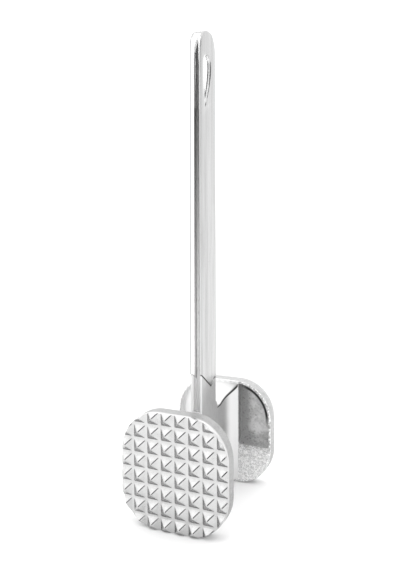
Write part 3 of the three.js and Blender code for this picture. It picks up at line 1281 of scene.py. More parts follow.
@dataclass(frozen=True)
class WebFinish(CastFinish):
    """The web's casting: painted shadow lines, a pale groove, painted highlights on the flares and painted
    shade on the tang.

    A pair of numbers says where a mask starts and where it is whole, in millimetres: x is across the head, y
    along it as in the finished object, z above the bench, and away is the distance from the head's middle.

    Attributes:
        slot_shade: the painted shade on the tang in the slot.
        slot_shade_high: z of the painted shade's lower edge.
        slot_shade_front: y of the tang's front.
        line_level: the level of the painted shadow lines under the web's top edge and at the sleeve's foot.
        line_top: under the top edge, where the line starts.
        line_low: under the top edge, where it ends.
        line_widens: how much wider it gets for each millimetre past where it starts to widen.
        line_wide_from: away, where it starts to widen.
        line_near: away, its end near the neck.
        line_far: away, its end at the plate.
        seat_low: z of the painted shadow line under the sleeve's foot, from the foot's rear edge, lower side.
        seat_high: the same, upper side.
        seat_rear: y of where it starts.
        seat_share: how dark it is.
        groove_level: the level in the neck's groove, where a pale oxide lies, and of the painted light in the
            slot's run-out.
        groove_half: x of the groove.
        groove_front: y of its front.
        groove_floor: y of its floor.
        groove_high: z of its upper end.
        groove_share: how far the oxide covers it.
        pale_high: z of the run-out above the painted shade, painted pale to stand in for the light that
            reaches it.
        pale_floor: y of the tang's front there.
        highlight_level: the level of the painted highlight on the flares, the neck's front and the top edge.
        flare_side: x of the flares.
        neck_front: y of the neck's front.
        neck_low: z of the neck's lower end.
        neck_near: away, where the neck ends.
        top: over the top edge's line.
        top_far: away, where the painted highlight on the top edge starts.
        oxide_loss: how much less bare the metal is under the oxide and in the painted run-out.
    """

    slot_shade: SlotShade = SlotShade()
    slot_shade_high: Pair = (66.0, 72.0)
    slot_shade_front: Pair = (-4.6, -5.0)
    line_level: float = 0.05
    line_top: Pair = (0.1, 0.35)
    line_low: Pair = (1.1, 0.8)
    line_widens: float = 0.08
    line_wide_from: float = 20.0
    line_near: Pair = (11.5, 12.5)
    line_far: Pair = (28.2, 27.8)
    seat_low: Pair = (-1.6, -0.9)
    seat_high: Pair = (1.2, 0.7)
    seat_rear: Pair = (4.4, 5.0)
    seat_share: float = 0.9
    groove_level: float = 0.95
    groove_half: Pair = (1.6, 1.3)
    groove_front: Pair = (-7.8, -7.2)
    groove_floor: Pair = (-4.6, -5.2)
    groove_high: Pair = (72.0, 66.0)
    groove_share: float = 0.8
    pale_high: Pair = (195.0, 198.0)
    pale_floor: Pair = (-4.9, -4.5)
    highlight_level: float = 0.68
    flare_side: Pair = (3.5, 6.0)
    neck_front: Pair = (-8.0, -8.3)
    neck_low: Pair = (44.0, 46.0)
    neck_near: Pair = (12.0, 11.0)
    top: Pair = (0.1, 0.0)
    top_far: Pair = (13.0, 16.0)
    oxide_loss: float = 0.8

    def _shadow_lines(self, spot: Spot, drop: Value) -> Value:
        """The share of the painted shadow lines under the web's top edge and at the sleeve's foot.

        Args:
            spot: where each point lies.
            drop: how far it lies under the top edge.

        Returns:
            the share.
        """
        wide = ((spot.away - self.line_wide_from) * self.line_widens).most(0.0)
        line = drop.step(*self.line_top) * (drop - wide).step(*self.line_low)
        line = line * spot.away.between(self.line_near, self.line_far)
        seat = (spot.z - FOOT.rear_edge).between(self.seat_low, self.seat_high)
        return line.most(seat * spot.y.step(*self.seat_rear) * self.seat_share)

    def _painted_highlight(self, spot: Spot, drop: Value) -> Value:
        """The share of the painted highlight on the flares, the neck's front and the top edge.

        Args:
            spot: where each point lies.
            drop: how far it lies under the top edge.

        Returns:
            the share.
        """
        neck = spot.y.step(*self.neck_front) * spot.z.step(*self.neck_low) * spot.away.step(*self.neck_near)
        top = drop.step(*self.top) * spot.away.step(*self.top_far)
        return abs(spot.x).step(*self.flare_side).most(neck).most(top)

    def _layer(self, shader: Shader, spot: Spot) -> Layer:
        """The skin, with painted highlights and shadow lines, and painted shade on the tang above the neck.

        Args:
            shader: the material being built.
            spot: where each point lies.

        Returns:
            the layer.
        """
        skin = super()._layer(shader, spot)
        drop = TOP_EDGE.height(((spot.away - TOP_EDGE.start) / TOP_EDGE.sweep).most(0.0).least(1.0)) - spot.z
        groove = abs(spot.x).step(*self.groove_half) * spot.y.between(self.groove_front, self.groove_floor)
        groove = groove * spot.z.step(*self.groove_high)
        pale = spot.z.step(*self.pale_high) * spot.y.step(*self.pale_floor)
        # painted highlight on the flares, the neck's front and the far part of the top edge
        colour = shader.blend(self._painted_highlight(spot, drop), skin.colour, grey(self.highlight_level))
        colour = shader.blend(groove * self.groove_share, colour, grey(self.groove_level))
        # painted shadow lines under the web's top edge and under the sleeve's foot
        colour = shader.blend(self._shadow_lines(spot, drop), colour, grey(self.line_level))
        # painted light: the tang's run-out at the handle's end is painted pale
        colour = shader.blend(pale, colour, grey(self.groove_level))
        bare = (1.0 - groove.most(pale) * self.oxide_loss) * skin.metal
        # painted shade on the tang's front in the slot
        share = spot.z.step(*self.slot_shade_high) * spot.y.step(*self.slot_shade_front)
        return self.slot_shade.cover(shader, spot, share, Layer(colour, skin.roughness, bare, skin.height))


@dataclass(frozen=True)
class SheetFinish:
    """Rolled sheet with streaks along its length, with painted shade and light in the slot and at the hole.

    A pair of numbers says where a mask starts and where it is whole, in millimetres. The side is the
    distance from the middle of the handle and the depth that from its front edges, both at the foot's size.

    Attributes:
        name: the material's name.
        light: the base colour's level at the handle's end.
        foot_light: the level at its foot.
        dark: the level in the streaks.
        roughness: of the clean sheet.
        streaks: the narrow streaks.
        bands: the broad ones.
        streak_shares: how far each of them darkens the sheet.
        streak_rough: how much rougher the narrow streaks are.
        scratches: the relief's pattern.
        scratch: height of the scratches, in millimetres.
        slot_shade: the painted shade in the slot.
        slot_shade_half: side of the shaded stretch.
        slot_shade_front: depth of the painted shade's edge.
        slot_shade_fade: half the width of that edge.
        slot_shade_later: how much deeper the edge lies at the handle's end.
        slot_shade_end: where that starts and is whole, from the handle's end.
        slot_shade_share: how dark the painted shade is.
        slot_shade_rear: depth of its end before the hole, from the hole's front.
        hole_highlight_level: the level of the painted highlight in the hole's dish.
        hole_highlight_low: lower edge of the painted highlight, from the hole's tip.
        hole_highlight_high: its upper edge, from the hole's top.
        hole_highlight_side: side below which the painted highlight lies, from its half width.
        hole_highlight_front: depth at which it starts.
        hole_highlight_rear: depth at which it ends.
        hole_highlight_near: depth of the brightest painted highlight, from the hole's front.
        hole_highlight_under: height under which all is bright, from the hole's tip.
        hole_highlight_gain: how much brighter that is.
        wall_and_lip_highlight_level: the level of the painted highlight on the hole's wall and on the slot's
            lips.
        wall: side of the hole's wall.
        lip_side: side of the slot's lips.
        lip_rear: depth of their end.
        lip_front: depth of their start.
        hole_shadow_level: the level of the painted shadow along the edges of the hole's wall.
        hole_shadow_front: depth at which the painted shadow starts, from the hole's front.
        hole_shadow_low: its lower end, from the hole's tip.
        hole_shadow_high: its upper end, from the hole's top.
        hole_shadow_inner: side of the wall's inner edge.
        hole_shadow_outer: side of its outer edge.
        hole_shadow_shares: how dark both are, and the wall between them, and how far they hide the painted
            highlight.
        painted_light_level: the level of the painted light in the slot's run-out at the handle's end.
        painted_light_slope: how much higher the run-out starts for each millimetre of depth.
        painted_light_high: where it starts, from the handle's end.
        painted_light_rear: depth of its end.
        painted_light_front: depth of its start.
        bare_losses: how much less bare the metal is on the wall and in the run-out.
    """

    name: str
    light: float
    foot_light: float
    dark: float
    roughness: float
    streaks: Pattern = Pattern(900.0, 3.0, 0.6, 0.42, 0.72, 0.03)
    bands: Pattern = Pattern(260.0, 2.0, 0.5, 0.45, 0.7, 0.015)
    streak_shares: Pair = (0.5, 0.4)
    streak_rough: float = 0.08
    scratches: Pattern = Pattern(2400.0, 2.0, drawn=0.02)
    scratch: float = 0.006
    slot_shade: SlotShade = SlotShade(0.3, 1.0, 0.6)
    slot_shade_half: Pair = (1.9, 1.7)
    slot_shade_front: float = 1.6
    slot_shade_fade: float = 0.4
    slot_shade_later: float = 1.3
    slot_shade_end: Pair = (-22.0, -6.0)
    slot_shade_share: float = 0.75
    slot_shade_rear: Pair = (-0.2, -1.0)
    hole_highlight_level: float = 0.57
    hole_highlight_low: Pair = (-3.0, -2.0)
    hole_highlight_high: Pair = (0.2, -0.6)
    hole_highlight_side: Pair = (-0.04, -0.1)
    hole_highlight_front: Pair = (1.0, 1.4)
    hole_highlight_rear: Pair = (17.0, 16.0)
    hole_highlight_near: Pair = (3.0, 1.0)
    hole_highlight_under: Pair = (12.0, 8.0)
    hole_highlight_gain: float = 0.25
    wall_and_lip_highlight_level: float = 0.9
    wall: Pair = (3.0, 2.8)
    lip_side: Pair = (2.6, 2.3)
    lip_rear: Pair = (1.8, 1.4)
    lip_front: Pair = (-0.6, -0.2)
    hole_shadow_level: float = 0.06
    hole_shadow_front: Pair = (-0.1, 0.4)
    hole_shadow_low: Pair = (1.5, 4.0)
    hole_shadow_high: Pair = (-1.8, -4.0)
    hole_shadow_inner: Pair = (2.1, 1.85)
    hole_shadow_outer: Pair = (2.9, 3.1)
    hole_shadow_shares: tuple[float, float, float] = (0.85, 0.05, 0.35)
    painted_light_level: float = 0.95
    painted_light_slope: float = 2.4
    painted_light_high: Pair = (-19.5, -17.5)
    painted_light_rear: Pair = (3.5, 3.2)
    painted_light_front: Pair = (0.2, 0.6)
    bare_losses: Pair = (0.9, 0.8)

    def _sheet(self, shader: Shader, spot: Spot) -> Layer:
        """The clean sheet with its streaks.

        Args:
            shader: the material being built.
            spot: where each point lies.

        Returns:
            the layer.
        """
        streaks = self.streaks.share(spot)
        narrow, broad = self.streak_shares
        light = shader.blend(spot.z.step(BAR.top, BAR.foot), grey(self.light), grey(self.foot_light))
        colour = shader.blend(streaks * narrow + self.bands.share(spot) * broad, light, grey(self.dark))
        relief = self.scratches.noise(spot) * self.scratch
        return Layer(colour, streaks * self.streak_rough + self.roughness, 1.0, relief)

    def _hole_highlight_and_shadow(self, spot: Spot, side: Value, depth: Value) -> tuple[Value, Value]:
        """The painted highlight in the hole's dish and on its wall, and the painted shadow along the wall's
        edges.

        Args:
            spot: where each point lies.
            side: its distance from the middle of the handle.
            depth: its distance from the front edges.

        Returns:
            the share of painted highlight and that of painted shadow.
        """
        over, under = spot.z - HOLE.low, spot.z - (HOLE.low + HOLE.height)
        behind = depth - HOLE.front
        edge, wall, hidden = self.hole_shadow_shares
        # painted highlight in the hole's dish and on its wall, cut back by painted shadow along the wall's
        # edges
        zone = over.step(*self.hole_highlight_low) * under.step(*self.hole_highlight_high)
        zone = zone * (side - BAR.half).step(*self.hole_highlight_side)
        zone = zone * depth.between(self.hole_highlight_front, self.hole_highlight_rear)
        hole_shadowed = zone * behind.step(*self.hole_shadow_front)
        hole_shadowed = hole_shadowed * over.step(*self.hole_shadow_low) * under.step(*self.hole_shadow_high)
        bright = behind.step(*self.hole_highlight_near).most(over.step(*self.hole_highlight_under))
        worn = zone * (1.0 - hole_shadowed * hidden) * (bright * self.hole_highlight_gain + (1.0 - self.hole_highlight_gain))
        edges = side.step(*self.hole_shadow_inner).most(side.step(*self.hole_shadow_outer))
        return worn, hole_shadowed * (edges * edge + wall)

    def make(self) -> Any:
        """Build the material.

        Returns:
            the material.
        """
        shader = Shader(self.name)
        spot = shader.spot()
        sheet = self._sheet(shader, spot)
        share = BAR.share(spot.z)
        side, depth = abs(spot.x) / share, spot.along / share + BAR.front
        high = spot.z - BAR.top
        inside = abs(spot.x).step(*self.slot_shade_half)
        worn, hole_shadow = self._hole_highlight_and_shadow(spot, side, depth)
        wall = side.step(*self.wall)
        lips = side.step(*self.lip_side) * depth.between(self.lip_rear, self.lip_front)
        # painted light: the slot's run-out at the handle's end, free of the painted shade and painted pale
        clean = (high - depth * self.painted_light_slope).step(*self.painted_light_high) * inside
        clean = clean * depth.between(self.painted_light_rear, self.painted_light_front)
        # painted highlight on the hole's dish, its wall and the slot's lips, then painted shadow along the
        # wall's edges
        bright = shader.blend(wall, grey(self.hole_highlight_level), grey(self.wall_and_lip_highlight_level))
        colour = shader.blend(worn.most(lips), sheet.colour, bright)
        colour = shader.blend(hole_shadow, colour, grey(self.hole_shadow_level))
        colour = shader.blend(clean, colour, grey(self.painted_light_level))
        wall_loss, painted_light_loss = self.bare_losses
        bare = 1.0 - (worn * wall * wall_loss).most(clean * painted_light_loss)
        # painted shade on the sleeve's inner walls, from the slot's mouth inwards
        start = high.step(*self.slot_shade_end) * self.slot_shade_later + self.slot_shade_front
        slot_shaded = (depth - start).step(-self.slot_shade_fade, self.slot_shade_fade) * self.slot_shade_share
        slot_shaded = slot_shaded * (depth - HOLE.front).step(*self.slot_shade_rear) * inside * (1.0 - clean)
        sheet = Layer(colour, sheet.roughness, bare, sheet.height)
        return shader.metal(self.slot_shade.cover(shader, spot, slot_shaded, sheet))


class Finish(Enum):
    """The finishes that the pieces wear."""

    COARSE = FaceFinish("cast_coarse", light=0.57, dark=0.5, roughness=0.2, grain=0.9, skin=0.012)
    FINE = FaceFinish(
        "cast_fine", light=0.57, dark=0.5, roughness=0.2, grain=0.9, skin=0.012, teeth=FINE, rim_level=0.45
    )
    WEB = WebFinish("cast_web", light=0.45, dark=0.4, roughness=0.3, grain=1.4, skin=0.006, metal=0.6)
    SLEEVE = SheetFinish("drawn_sleeve", light=0.41, foot_light=0.5, dark=0.32, roughness=0.2)


@dataclass
class Piece:
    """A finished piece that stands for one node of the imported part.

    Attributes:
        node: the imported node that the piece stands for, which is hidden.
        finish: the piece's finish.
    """

    node: str
    finish: Finish

    def begin(self, form: Form) -> Any:
        """The piece's object, made from its main form."""
        return form.piece(self.node + "_piece")

    def complete(self, piece: Any, place: float, crease: float) -> Any:
        """Move a worked-out piece to its place, shade it, dress it and let it stand for its node.

        Args:
            piece: the object.
            place: how far it is moved along Y, in millimetres.
            crease: the least angle between two faces that shows as an edge, in degrees.

        Returns:
            the object.
        """
        mesh = piece.data
        mesh.transform(Matrix.Translation((0.0, place * MM, 0.0)))
        mesh.shade_smooth()
        mesh.set_sharp_from_angle(angle=math.radians(crease))
        mesh.materials.clear()
        mesh.materials.append(self.finish.value.make())
        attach(piece, "root")
        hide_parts(self.node)
        LOG.info("%s: %d points, %d faces", piece.name, len(mesh.vertices), len(mesh.polygons))
        return piece


@dataclass
class FacePlate(Piece):
    """One face plate: a rounded square with teeth in front and two shallow pockets in its back.

    Attributes:
        teeth: its teeth.
        rear: whether it is the rear plate, which faces +Y.
        edge: how far the teeth's cut ends lean in, over their height.
        back_round: rounding of the back's rim.
        pocket_depth: depth of the pockets.
        pocket_rim: wall left at the plate's edge.
        pocket_corner: rounding of a pocket's corner between the web and the ledge.
        foot_round: rounding between a pocket's walls and its floor.
        rim_draft: how far a pocket's wall leans in at the plate's edge.
        web_draft: how far it leans in beside the web.
        ledge_draft: how far it leans in at the ledge.
        ledge: lower end of the pockets.
        flare: half the width between the pockets.
        spare: how much thicker the block of teeth is before it is trimmed.
        crease: the least angle between two faces that shows as an edge, in degrees.
    """

    teeth: Teeth
    rear: bool
    edge: float = 1.0
    back_round: float = 0.7
    pocket_depth: float = 4.0
    pocket_rim: float = 1.3
    pocket_corner: float = 1.2
    foot_round: float = 1.2
    rim_draft: float = 0.5
    web_draft: float = 0.25
    ledge_draft: float = 2.6
    ledge: float = 20.8
    flare: float = 8.9
    spare: float = 3.0
    crease: float = 33.0

    def _stack(self, profile: Array) -> Form:
        """A form that has the plate's outline, drawn in along Y by a profile.

        The outline is four arcs about fixed centres, centre + (corner - inset) (cos t, sin t).

        Args:
            profile: places along Y and insets, two numbers a row.

        Returns:
            the form.
        """
        reach = (HEAD.width / 2 - HEAD.corner, HEAD.height / 2 - HEAD.corner)
        turn = np.radians(np.linspace(0, 90, 29)[None] + np.array([0, 90, 180, 270])[:, None])
        sign = np.array([(1, 1), (-1, 1), (-1, -1), (1, -1)])
        centre = (sign * reach)[:, None]
        way = np.stack([np.cos(turn), np.sin(turn)], axis=-1)
        radius = HEAD.corner - profile[:, 1][:, None, None, None]
        rings = (centre + radius * way).reshape(len(radius), -1, 2) + (0.0, HEAD.height / 2)
        return Form.loft(raised(rings, 1, profile[:, 0]))

    def _body(self) -> Form:
        """The plate's trimming body: its outline leans in past the root plane and is rounded at the back.

        Returns:
            the form.
        """
        high = self.teeth.height
        lean = np.array([
            (-high - 1.0, self.edge + 0.5), (-high, self.edge), (-high * 0.5, self.edge * 0.52),
            (-0.3, self.edge * 0.2), (0.15, self.edge * 0.08), (0.6, 0.015), (1.0, 0.0),
        ])
        turn = np.radians(np.linspace(0, 90, 6))
        rim = [HEAD.thick - self.back_round * (1 - np.sin(turn)), self.back_round * (1 - np.cos(turn))]
        return self._stack(np.concatenate([lean, np.stack(rim, axis=1)]))

    def _wall(self, draft: float, rounding: float) -> Array:
        """Places and insets of a pocket's wall, from its rounded foot over a slight lip to past the back.

        Args:
            draft: how far the wall leans in over the pocket's depth.
            rounding: of its foot.

        Returns:
            the profile, a place and an inset a row.
        """
        floor = HEAD.thick - self.pocket_depth
        turn = np.radians(np.linspace(0, 80, 6))
        foot = [floor + self.foot_round * (1 - np.cos(turn)), draft + rounding * (1 - np.sin(turn))]
        lip = np.array([
            (HEAD.thick - 0.4, 0.1), (HEAD.thick - 0.1, 0.0), (HEAD.thick, -0.12), (HEAD.thick + 1.0, -1.0)
        ])
        return np.concatenate([np.stack(foot, axis=1), lip])

    def _pocket(self, sign: int) -> Any:
        """One pocket's cutting shape: the drawn-in plate outline, trimmed beside the web and at the ledge.

        Args:
            sign: 1 for the right-hand pocket, -1 for the left-hand one.

        Returns:
            the object.
        """
        rim = self._wall(self.rim_draft, self.foot_round)
        steep = self._wall(self.web_draft, self.web_draft)
        gentle = self._wall(self.ledge_draft, self.foot_round)
        pocket = self._stack(rim + (0.0, self.pocket_rim)).piece("pocket")
        low = np.stack([self.flare + steep[:, 1], self.ledge + gentle[:, 1]], axis=1)
        past = (HEAD.width, HEAD.width + HEAD.height)
        outlines = rounded_box(low, past, (self.pocket_corner, 0.0, 0.0, 0.0))
        carve(pocket, "INTERSECT", Form.loft(raised(outlines, 1, steep[:, 0])).piece("side"))
        if sign < 0:
            pocket.data.transform(Matrix.Diagonal((-1, 1, 1, 1)))
            pocket.data.flip_normals()
        return pocket

    def build(self) -> Any:
        """Work out the plate, dress it and set it in place.

        Returns:
            the finished piece.
        """
        across = math.ceil(HEAD.width / self.teeth.pitch / 2) * 2
        slab = self.teeth.slab(across, HEAD.thick + self.spare)
        plate = self.begin(slab.changed(lambda points: points + (0.0, 0.0, HEAD.height / 2)))
        carve(plate, "INTERSECT", self._body().piece("body"))
        carve(plate, "DIFFERENCE", self._pocket(1), self._pocket(-1))
        place = -HEAD.depth / 2 + HEAD.shift
        if self.rear:
            place = HEAD.depth / 2 + HEAD.shift
            plate.data.transform(Matrix.Rotation(math.pi, 4, "Z"))
        return self.complete(plate, place, self.crease)


@dataclass
class WebAndTang(Piece):
    """One casting: the web with its flares, the grooved neck and the tang inside the sleeve.

    Attributes:
        thick: the web's thickness.
        lift: its underside above the bench.
        under_round: radius of the web's lower edges.
        top_round: radius of its upper edges.
        flare: width across both flares, at a plate.
        flare_reach: where a flare leaves the web, from a plate.
        flare_bend: where a flare's slope would meet the web's side, from a plate.
        neck_front: the neck's front edge.
        neck_rear: the neck's rear edge.
        neck_corner: radius of its front edges.
        neck_round: radius of its rear edges.
        neck_heights: its sections above the bench, from inside the web to past the sleeve's foot.
        fillet: radius between the neck and the web.
        groove: half the width of the neck's groove.
        chamfer: the groove's sloping edges.
        groove_round: the bevel along its floor.
        foot_gap: between the sleeve's foot and the neck.
        tang_low: the tang's lower end, inside the neck.
        tang_rounds: radii of the tang's four edges, front and rear.
        crease: the least angle between two faces that shows as an edge, in degrees.
    """

    thick: float = 6.2
    lift: float = 1.5
    under_round: float = 0.8
    top_round: float = 0.9
    flare: float = 17.8
    flare_reach: float = 9.5
    flare_bend: float = 4.3
    neck_front: float = 9.2
    neck_rear: float = 11.4
    neck_corner: float = 0.5
    neck_round: float = 2.2
    neck_heights: tuple[float, float, float] = (44.0, 60.0, 75.0)
    fillet: float = 3.4
    groove: float = 1.1
    chamfer: float = 1.0
    groove_round: float = 0.4
    foot_gap: float = 0.5
    tang_low: float = 50.0
    tang_rounds: tuple[float, float, float, float] = (0.25, 0.25, 0.4, 0.4)
    crease: float = 32.0

    def _half_width(self, y: Array) -> Array:
        """The web's half thickness along Y: plain in the middle, bowed out to each plate.

        A flare is the quadratic curve by its two ends and its bend, solved for the place along Y.

        Args:
            y: places along Y.

        Returns:
            the half thickness at each.
        """
        reach = HEAD.inner - self.flare_reach
        bend = HEAD.inner - self.flare_bend
        a = reach - 2 * bend + HEAD.inner
        b = 2 * (bend - reach)
        c = reach - np.clip(np.abs(y), reach, HEAD.inner)
        share = (-b + np.sqrt(np.maximum(b * b - 4 * a * c, 0))) / (2 * a)
        half, wide = self.thick / 2, self.flare / 2
        return (1 - share) ** 2 * half + 2 * share * (1 - share) * half + share**2 * wide

    def _height(self, y: Array) -> Array:
        """The web's top edge along Y, with a fillet r (1 - sqrt(1 - s^2)) up to the neck.

        Args:
            y: places along Y.

        Returns:
            the height at each.
        """
        high = TOP_EDGE.height(np.clip((np.abs(y) - TOP_EDGE.start) / TOP_EDGE.sweep, 0, 1))
        edge = np.where(y > 0, y - self.neck_rear, -y - self.neck_front)
        inside = np.clip(1 - edge / self.fillet, 0, 1)
        return high + self.fillet * (1 - np.sqrt(np.clip(1 - inside**2, 0, 1)))

    def _web(self) -> Form:
        """The web as upright sections from plate to plate, each a rectangle with rounded edges.

        The sections stand close together where the top edge or the sides bend.

        Returns:
            the form.
        """
        inner = HEAD.inner
        turn = np.radians(np.linspace(0, 90, 20))
        sweep = inner - TOP_EDGE.sweep * (1 - np.sin(turn))
        fillet = self.fillet * (1 - np.sin(turn[::2]))[::-1]
        flare = np.linspace(inner - self.flare_reach, inner, 15)
        middle = [-5.0, 0.0, 5.0]
        y = np.concatenate([
            -sweep, sweep, self.neck_rear + fillet, -self.neck_front - fillet, flare, -flare, middle
        ])
        y = np.unique(np.round(y, 4))
        half, high = self._half_width(y), self._height(y)
        low = np.stack([-half, np.full_like(half, self.lift)], axis=1)
        radii = (self.under_round, self.under_round, self.top_round, self.top_round)
        return Form.loft(raised(rounded_box(low, np.stack([half, high], axis=1), radii, 6), 1, y))

    def _neck(self) -> Form:
        """The neck: its plan, with a groove in front and a rounded rear, carried up past the sleeve's foot.

        Returns:
            the form.
        """
        half, front, bevel = self.thick / 2, -self.neck_front, self.groove_round
        radius = self.neck_corner
        corner = arc((radius - half, radius + front), (radius, radius), 180, 270, 6)
        slope = [(-self.groove - self.chamfer, front), (-self.groove, self.chamfer + front)]
        left = np.concatenate([corner, slope])
        floor = np.array([(-self.groove, BAR.floor - bevel), (-self.groove + bevel, BAR.floor)])
        radii = (0.0, 0.0, self.neck_round, self.neck_round)
        rear = np.split(rounded_box((-half, 0.0), (half, self.neck_rear), radii), 2)[1]
        outline = np.concatenate([left, floor, floor[::-1] * (-1, 1), left[::-1] * (-1, 1), rear])
        return prism(outline, 2, self.neck_heights)

    def _tang(self) -> Form:
        """The tang's bar, tapered with the handle.

        Returns:
            the form.
        """
        half = BAR.slot - BAR.gap
        outline = rounded_box((-half, BAR.floor), (half, BAR.rear - BAR.wall - BAR.gap), self.tang_rounds, 4)
        stations = np.linspace(self.tang_low, BAR.top - BAR.tang_drop, 14)
        return prism(outline, 2, stations).changed(BAR.narrowed)

    def build(self) -> Any:
        """Work out the casting, dress it and set it in place.

        Returns:
            the finished piece.
        """
        neck = self._neck().piece("neck")
        carve(neck, "DIFFERENCE", FOOT.above(self.foot_gap).piece("foot"))
        web = self.begin(self._web())
        tang = carve(self._tang().piece("tang"), "DIFFERENCE", HOLE.tool(False).piece("hole"))
        carve(web, "UNION", neck, tang)
        return self.complete(web, HEAD.shift, self.crease)


@dataclass
class Sleeve(Piece):
    """The folded sheet sleeve: a flat channel with rounded lips, a closed back and a rounded end.

    Attributes:
        low: where the skin starts, below the tongue.
        room_low: where the slot and the room for the tang start, below that.
        fold: radius of the folds at the back.
        lip: radius of the lips' outer edge.
        mouth: how much wider the slot's mouth is, each side.
        mouth_depth: depth of the rounded mouth.
        slot: half the slot's width behind the lips.
        tip_drop: the slot's tip, at the tang, below the handle's end.
        run_out: how much lower the slot ends there than in front.
        tip_side: how far the tip lies towards the right side, as a share of the slot's half width.
        short_point: where the right side starts to bend to the tip, below the handle's end.
        long_point: where the left side does.
        end_round: rounding of the end towards both sides.
        fullness: power of the end's outline, |y|^n + |z|^n = 1; 2 is an ellipse.
        end_least: the end's last section, as a share of the full depth.
        edge_round: rounding of all sharp edges.
        edge_angle: the least angle that is rounded, in degrees.
        crease: the least angle between two faces that shows as an edge, in degrees.
    """

    low: float = 52.0
    room_low: float = 45.0
    fold: float = 0.8
    lip: float = 0.5
    mouth: float = 1.0
    mouth_depth: float = 1.15
    slot: float = 1.34
    tip_drop: float = 5.6
    run_out: float = 6.0
    tip_side: float = 0.7
    short_point: float = 8.0
    long_point: float = 16.5
    end_round: float = 1.0
    fullness: float = 2.2
    end_least: float = 0.02
    edge_round: float = 0.16
    edge_angle: float = 40.0
    crease: float = 30.0

    def _outer(self) -> Form:
        """The bar's skin: a rounded rectangle at each height, close together at the rounded end.

        Seen from the side the end is y = (1 - z^n)^(1/n), and from the front its sides are drawn in by
        r (1 - sqrt(1 - s^2)). A radius is at most nine tenths of its rectangle's half width or half depth.

        Returns:
            the form.
        """
        shoulder = BAR.top - BAR.end_height
        turn = np.radians(np.linspace(0, 90, 19))
        stem = np.linspace(self.low, shoulder, 16)[:-1]
        high = np.concatenate([stem, shoulder + BAR.end_height * np.sin(turn)])
        rise = np.clip((high - shoulder) / BAR.end_height, 0, 1)
        draw = np.maximum(np.clip(1 - rise**self.fullness, 0, 1) ** (1 / self.fullness), self.end_least)
        middle = (BAR.rear - BAR.front) / 2
        reach = (BAR.rear + BAR.front) / 2 * draw
        near = np.clip((high - BAR.top) / self.end_round + 1, 0, 1)
        side = BAR.half - self.end_round * (1 - np.sqrt(1 - near**2))
        most = np.minimum(reach, side) * 0.9
        lip, fold = np.minimum(self.lip, most), np.minimum(self.fold, most)
        low, far = np.stack([-side, middle - reach], axis=1), np.stack([side, middle + reach], axis=1)
        outlines = rounded_box(low, far, np.stack([lip, lip, fold, fold], axis=1))
        return Form.loft(BAR.narrowed(raised(outlines, 2, high)))

    def _arches(self, half: Array, tip_height: Array) -> Array:
        """The slot's sections in x and z: two straight sides and a quadratic curve from each to the tip.

        Args:
            half: half the width of each section.
            tip_height: height of each section's tip.

        Returns:
            the sections' points.
        """
        count = 12
        tip = np.stack([half * self.tip_side, tip_height], axis=1)
        sides = []
        for sign, drop in ((1, self.short_point), (-1, self.long_point)):
            shoulder = np.full_like(half, BAR.top - drop)
            edge = sign * half
            bend = np.stack([edge, (shoulder + tip_height) / 2], axis=1)
            curve = bow(np.stack([edge, shoulder], axis=1), bend, tip, count)
            height = np.linspace(np.full_like(half, self.room_low), shoulder, count, axis=1)
            stem = np.stack([np.broadcast_to(edge[:, None], height.shape), height], axis=-1)
            sides.append(np.concatenate([stem, curve[:, 1:]], axis=1))
        return np.concatenate([sides[0], sides[1][:, :-1][:, ::-1]], axis=1)

    def _slot(self) -> Form:
        """The slot: sloping lips, then straight down to the tang's front, with a long run-out at the end.

        Returns:
            the form.
        """
        share = np.linspace(0, 1, 7)
        outside, inside = -1.5, BAR.groove + 0.02
        depth = np.concatenate([[outside], self.mouth_depth * share, [inside]])
        spread = self.mouth * np.concatenate([[1.6], 1 - share, [0.0]])
        tip_height = BAR.top - self.tip_drop + self.run_out * (1 - depth / BAR.groove)
        arches = self._arches(self.slot + spread, tip_height)
        return Form.loft(BAR.narrowed(raised(arches, 1, depth - BAR.front)))

    def _room(self) -> Form:
        """The room for the tang behind the slot.

        Returns:
            the form.
        """
        near, far = BAR.floor - BAR.gap, BAR.rear - BAR.wall
        outline = np.array([(-BAR.slot, near), (BAR.slot, near), (BAR.slot, far), (-BAR.slot, far)])
        stations = np.linspace(self.room_low, BAR.top - BAR.tang_drop + BAR.gap, 12)
        return prism(outline, 2, stations).changed(BAR.narrowed)

    def build(self) -> Any:
        """Work out the sleeve, dress it and set it in place; all that is cut away is one shape.

        Returns:
            the finished piece.
        """
        sleeve = self.begin(self._outer())
        tool = FOOT.below(0.0).piece("tool")
        room, slot = self._room().piece("room"), self._slot().piece("slot")
        carve(tool, "UNION", room, slot, HOLE.tool(True).piece("hole"))
        carve(sleeve, "DIFFERENCE", tool)
        soften(sleeve, self.edge_round, self.edge_angle)
        return self.complete(sleeve, HEAD.shift, self.crease)


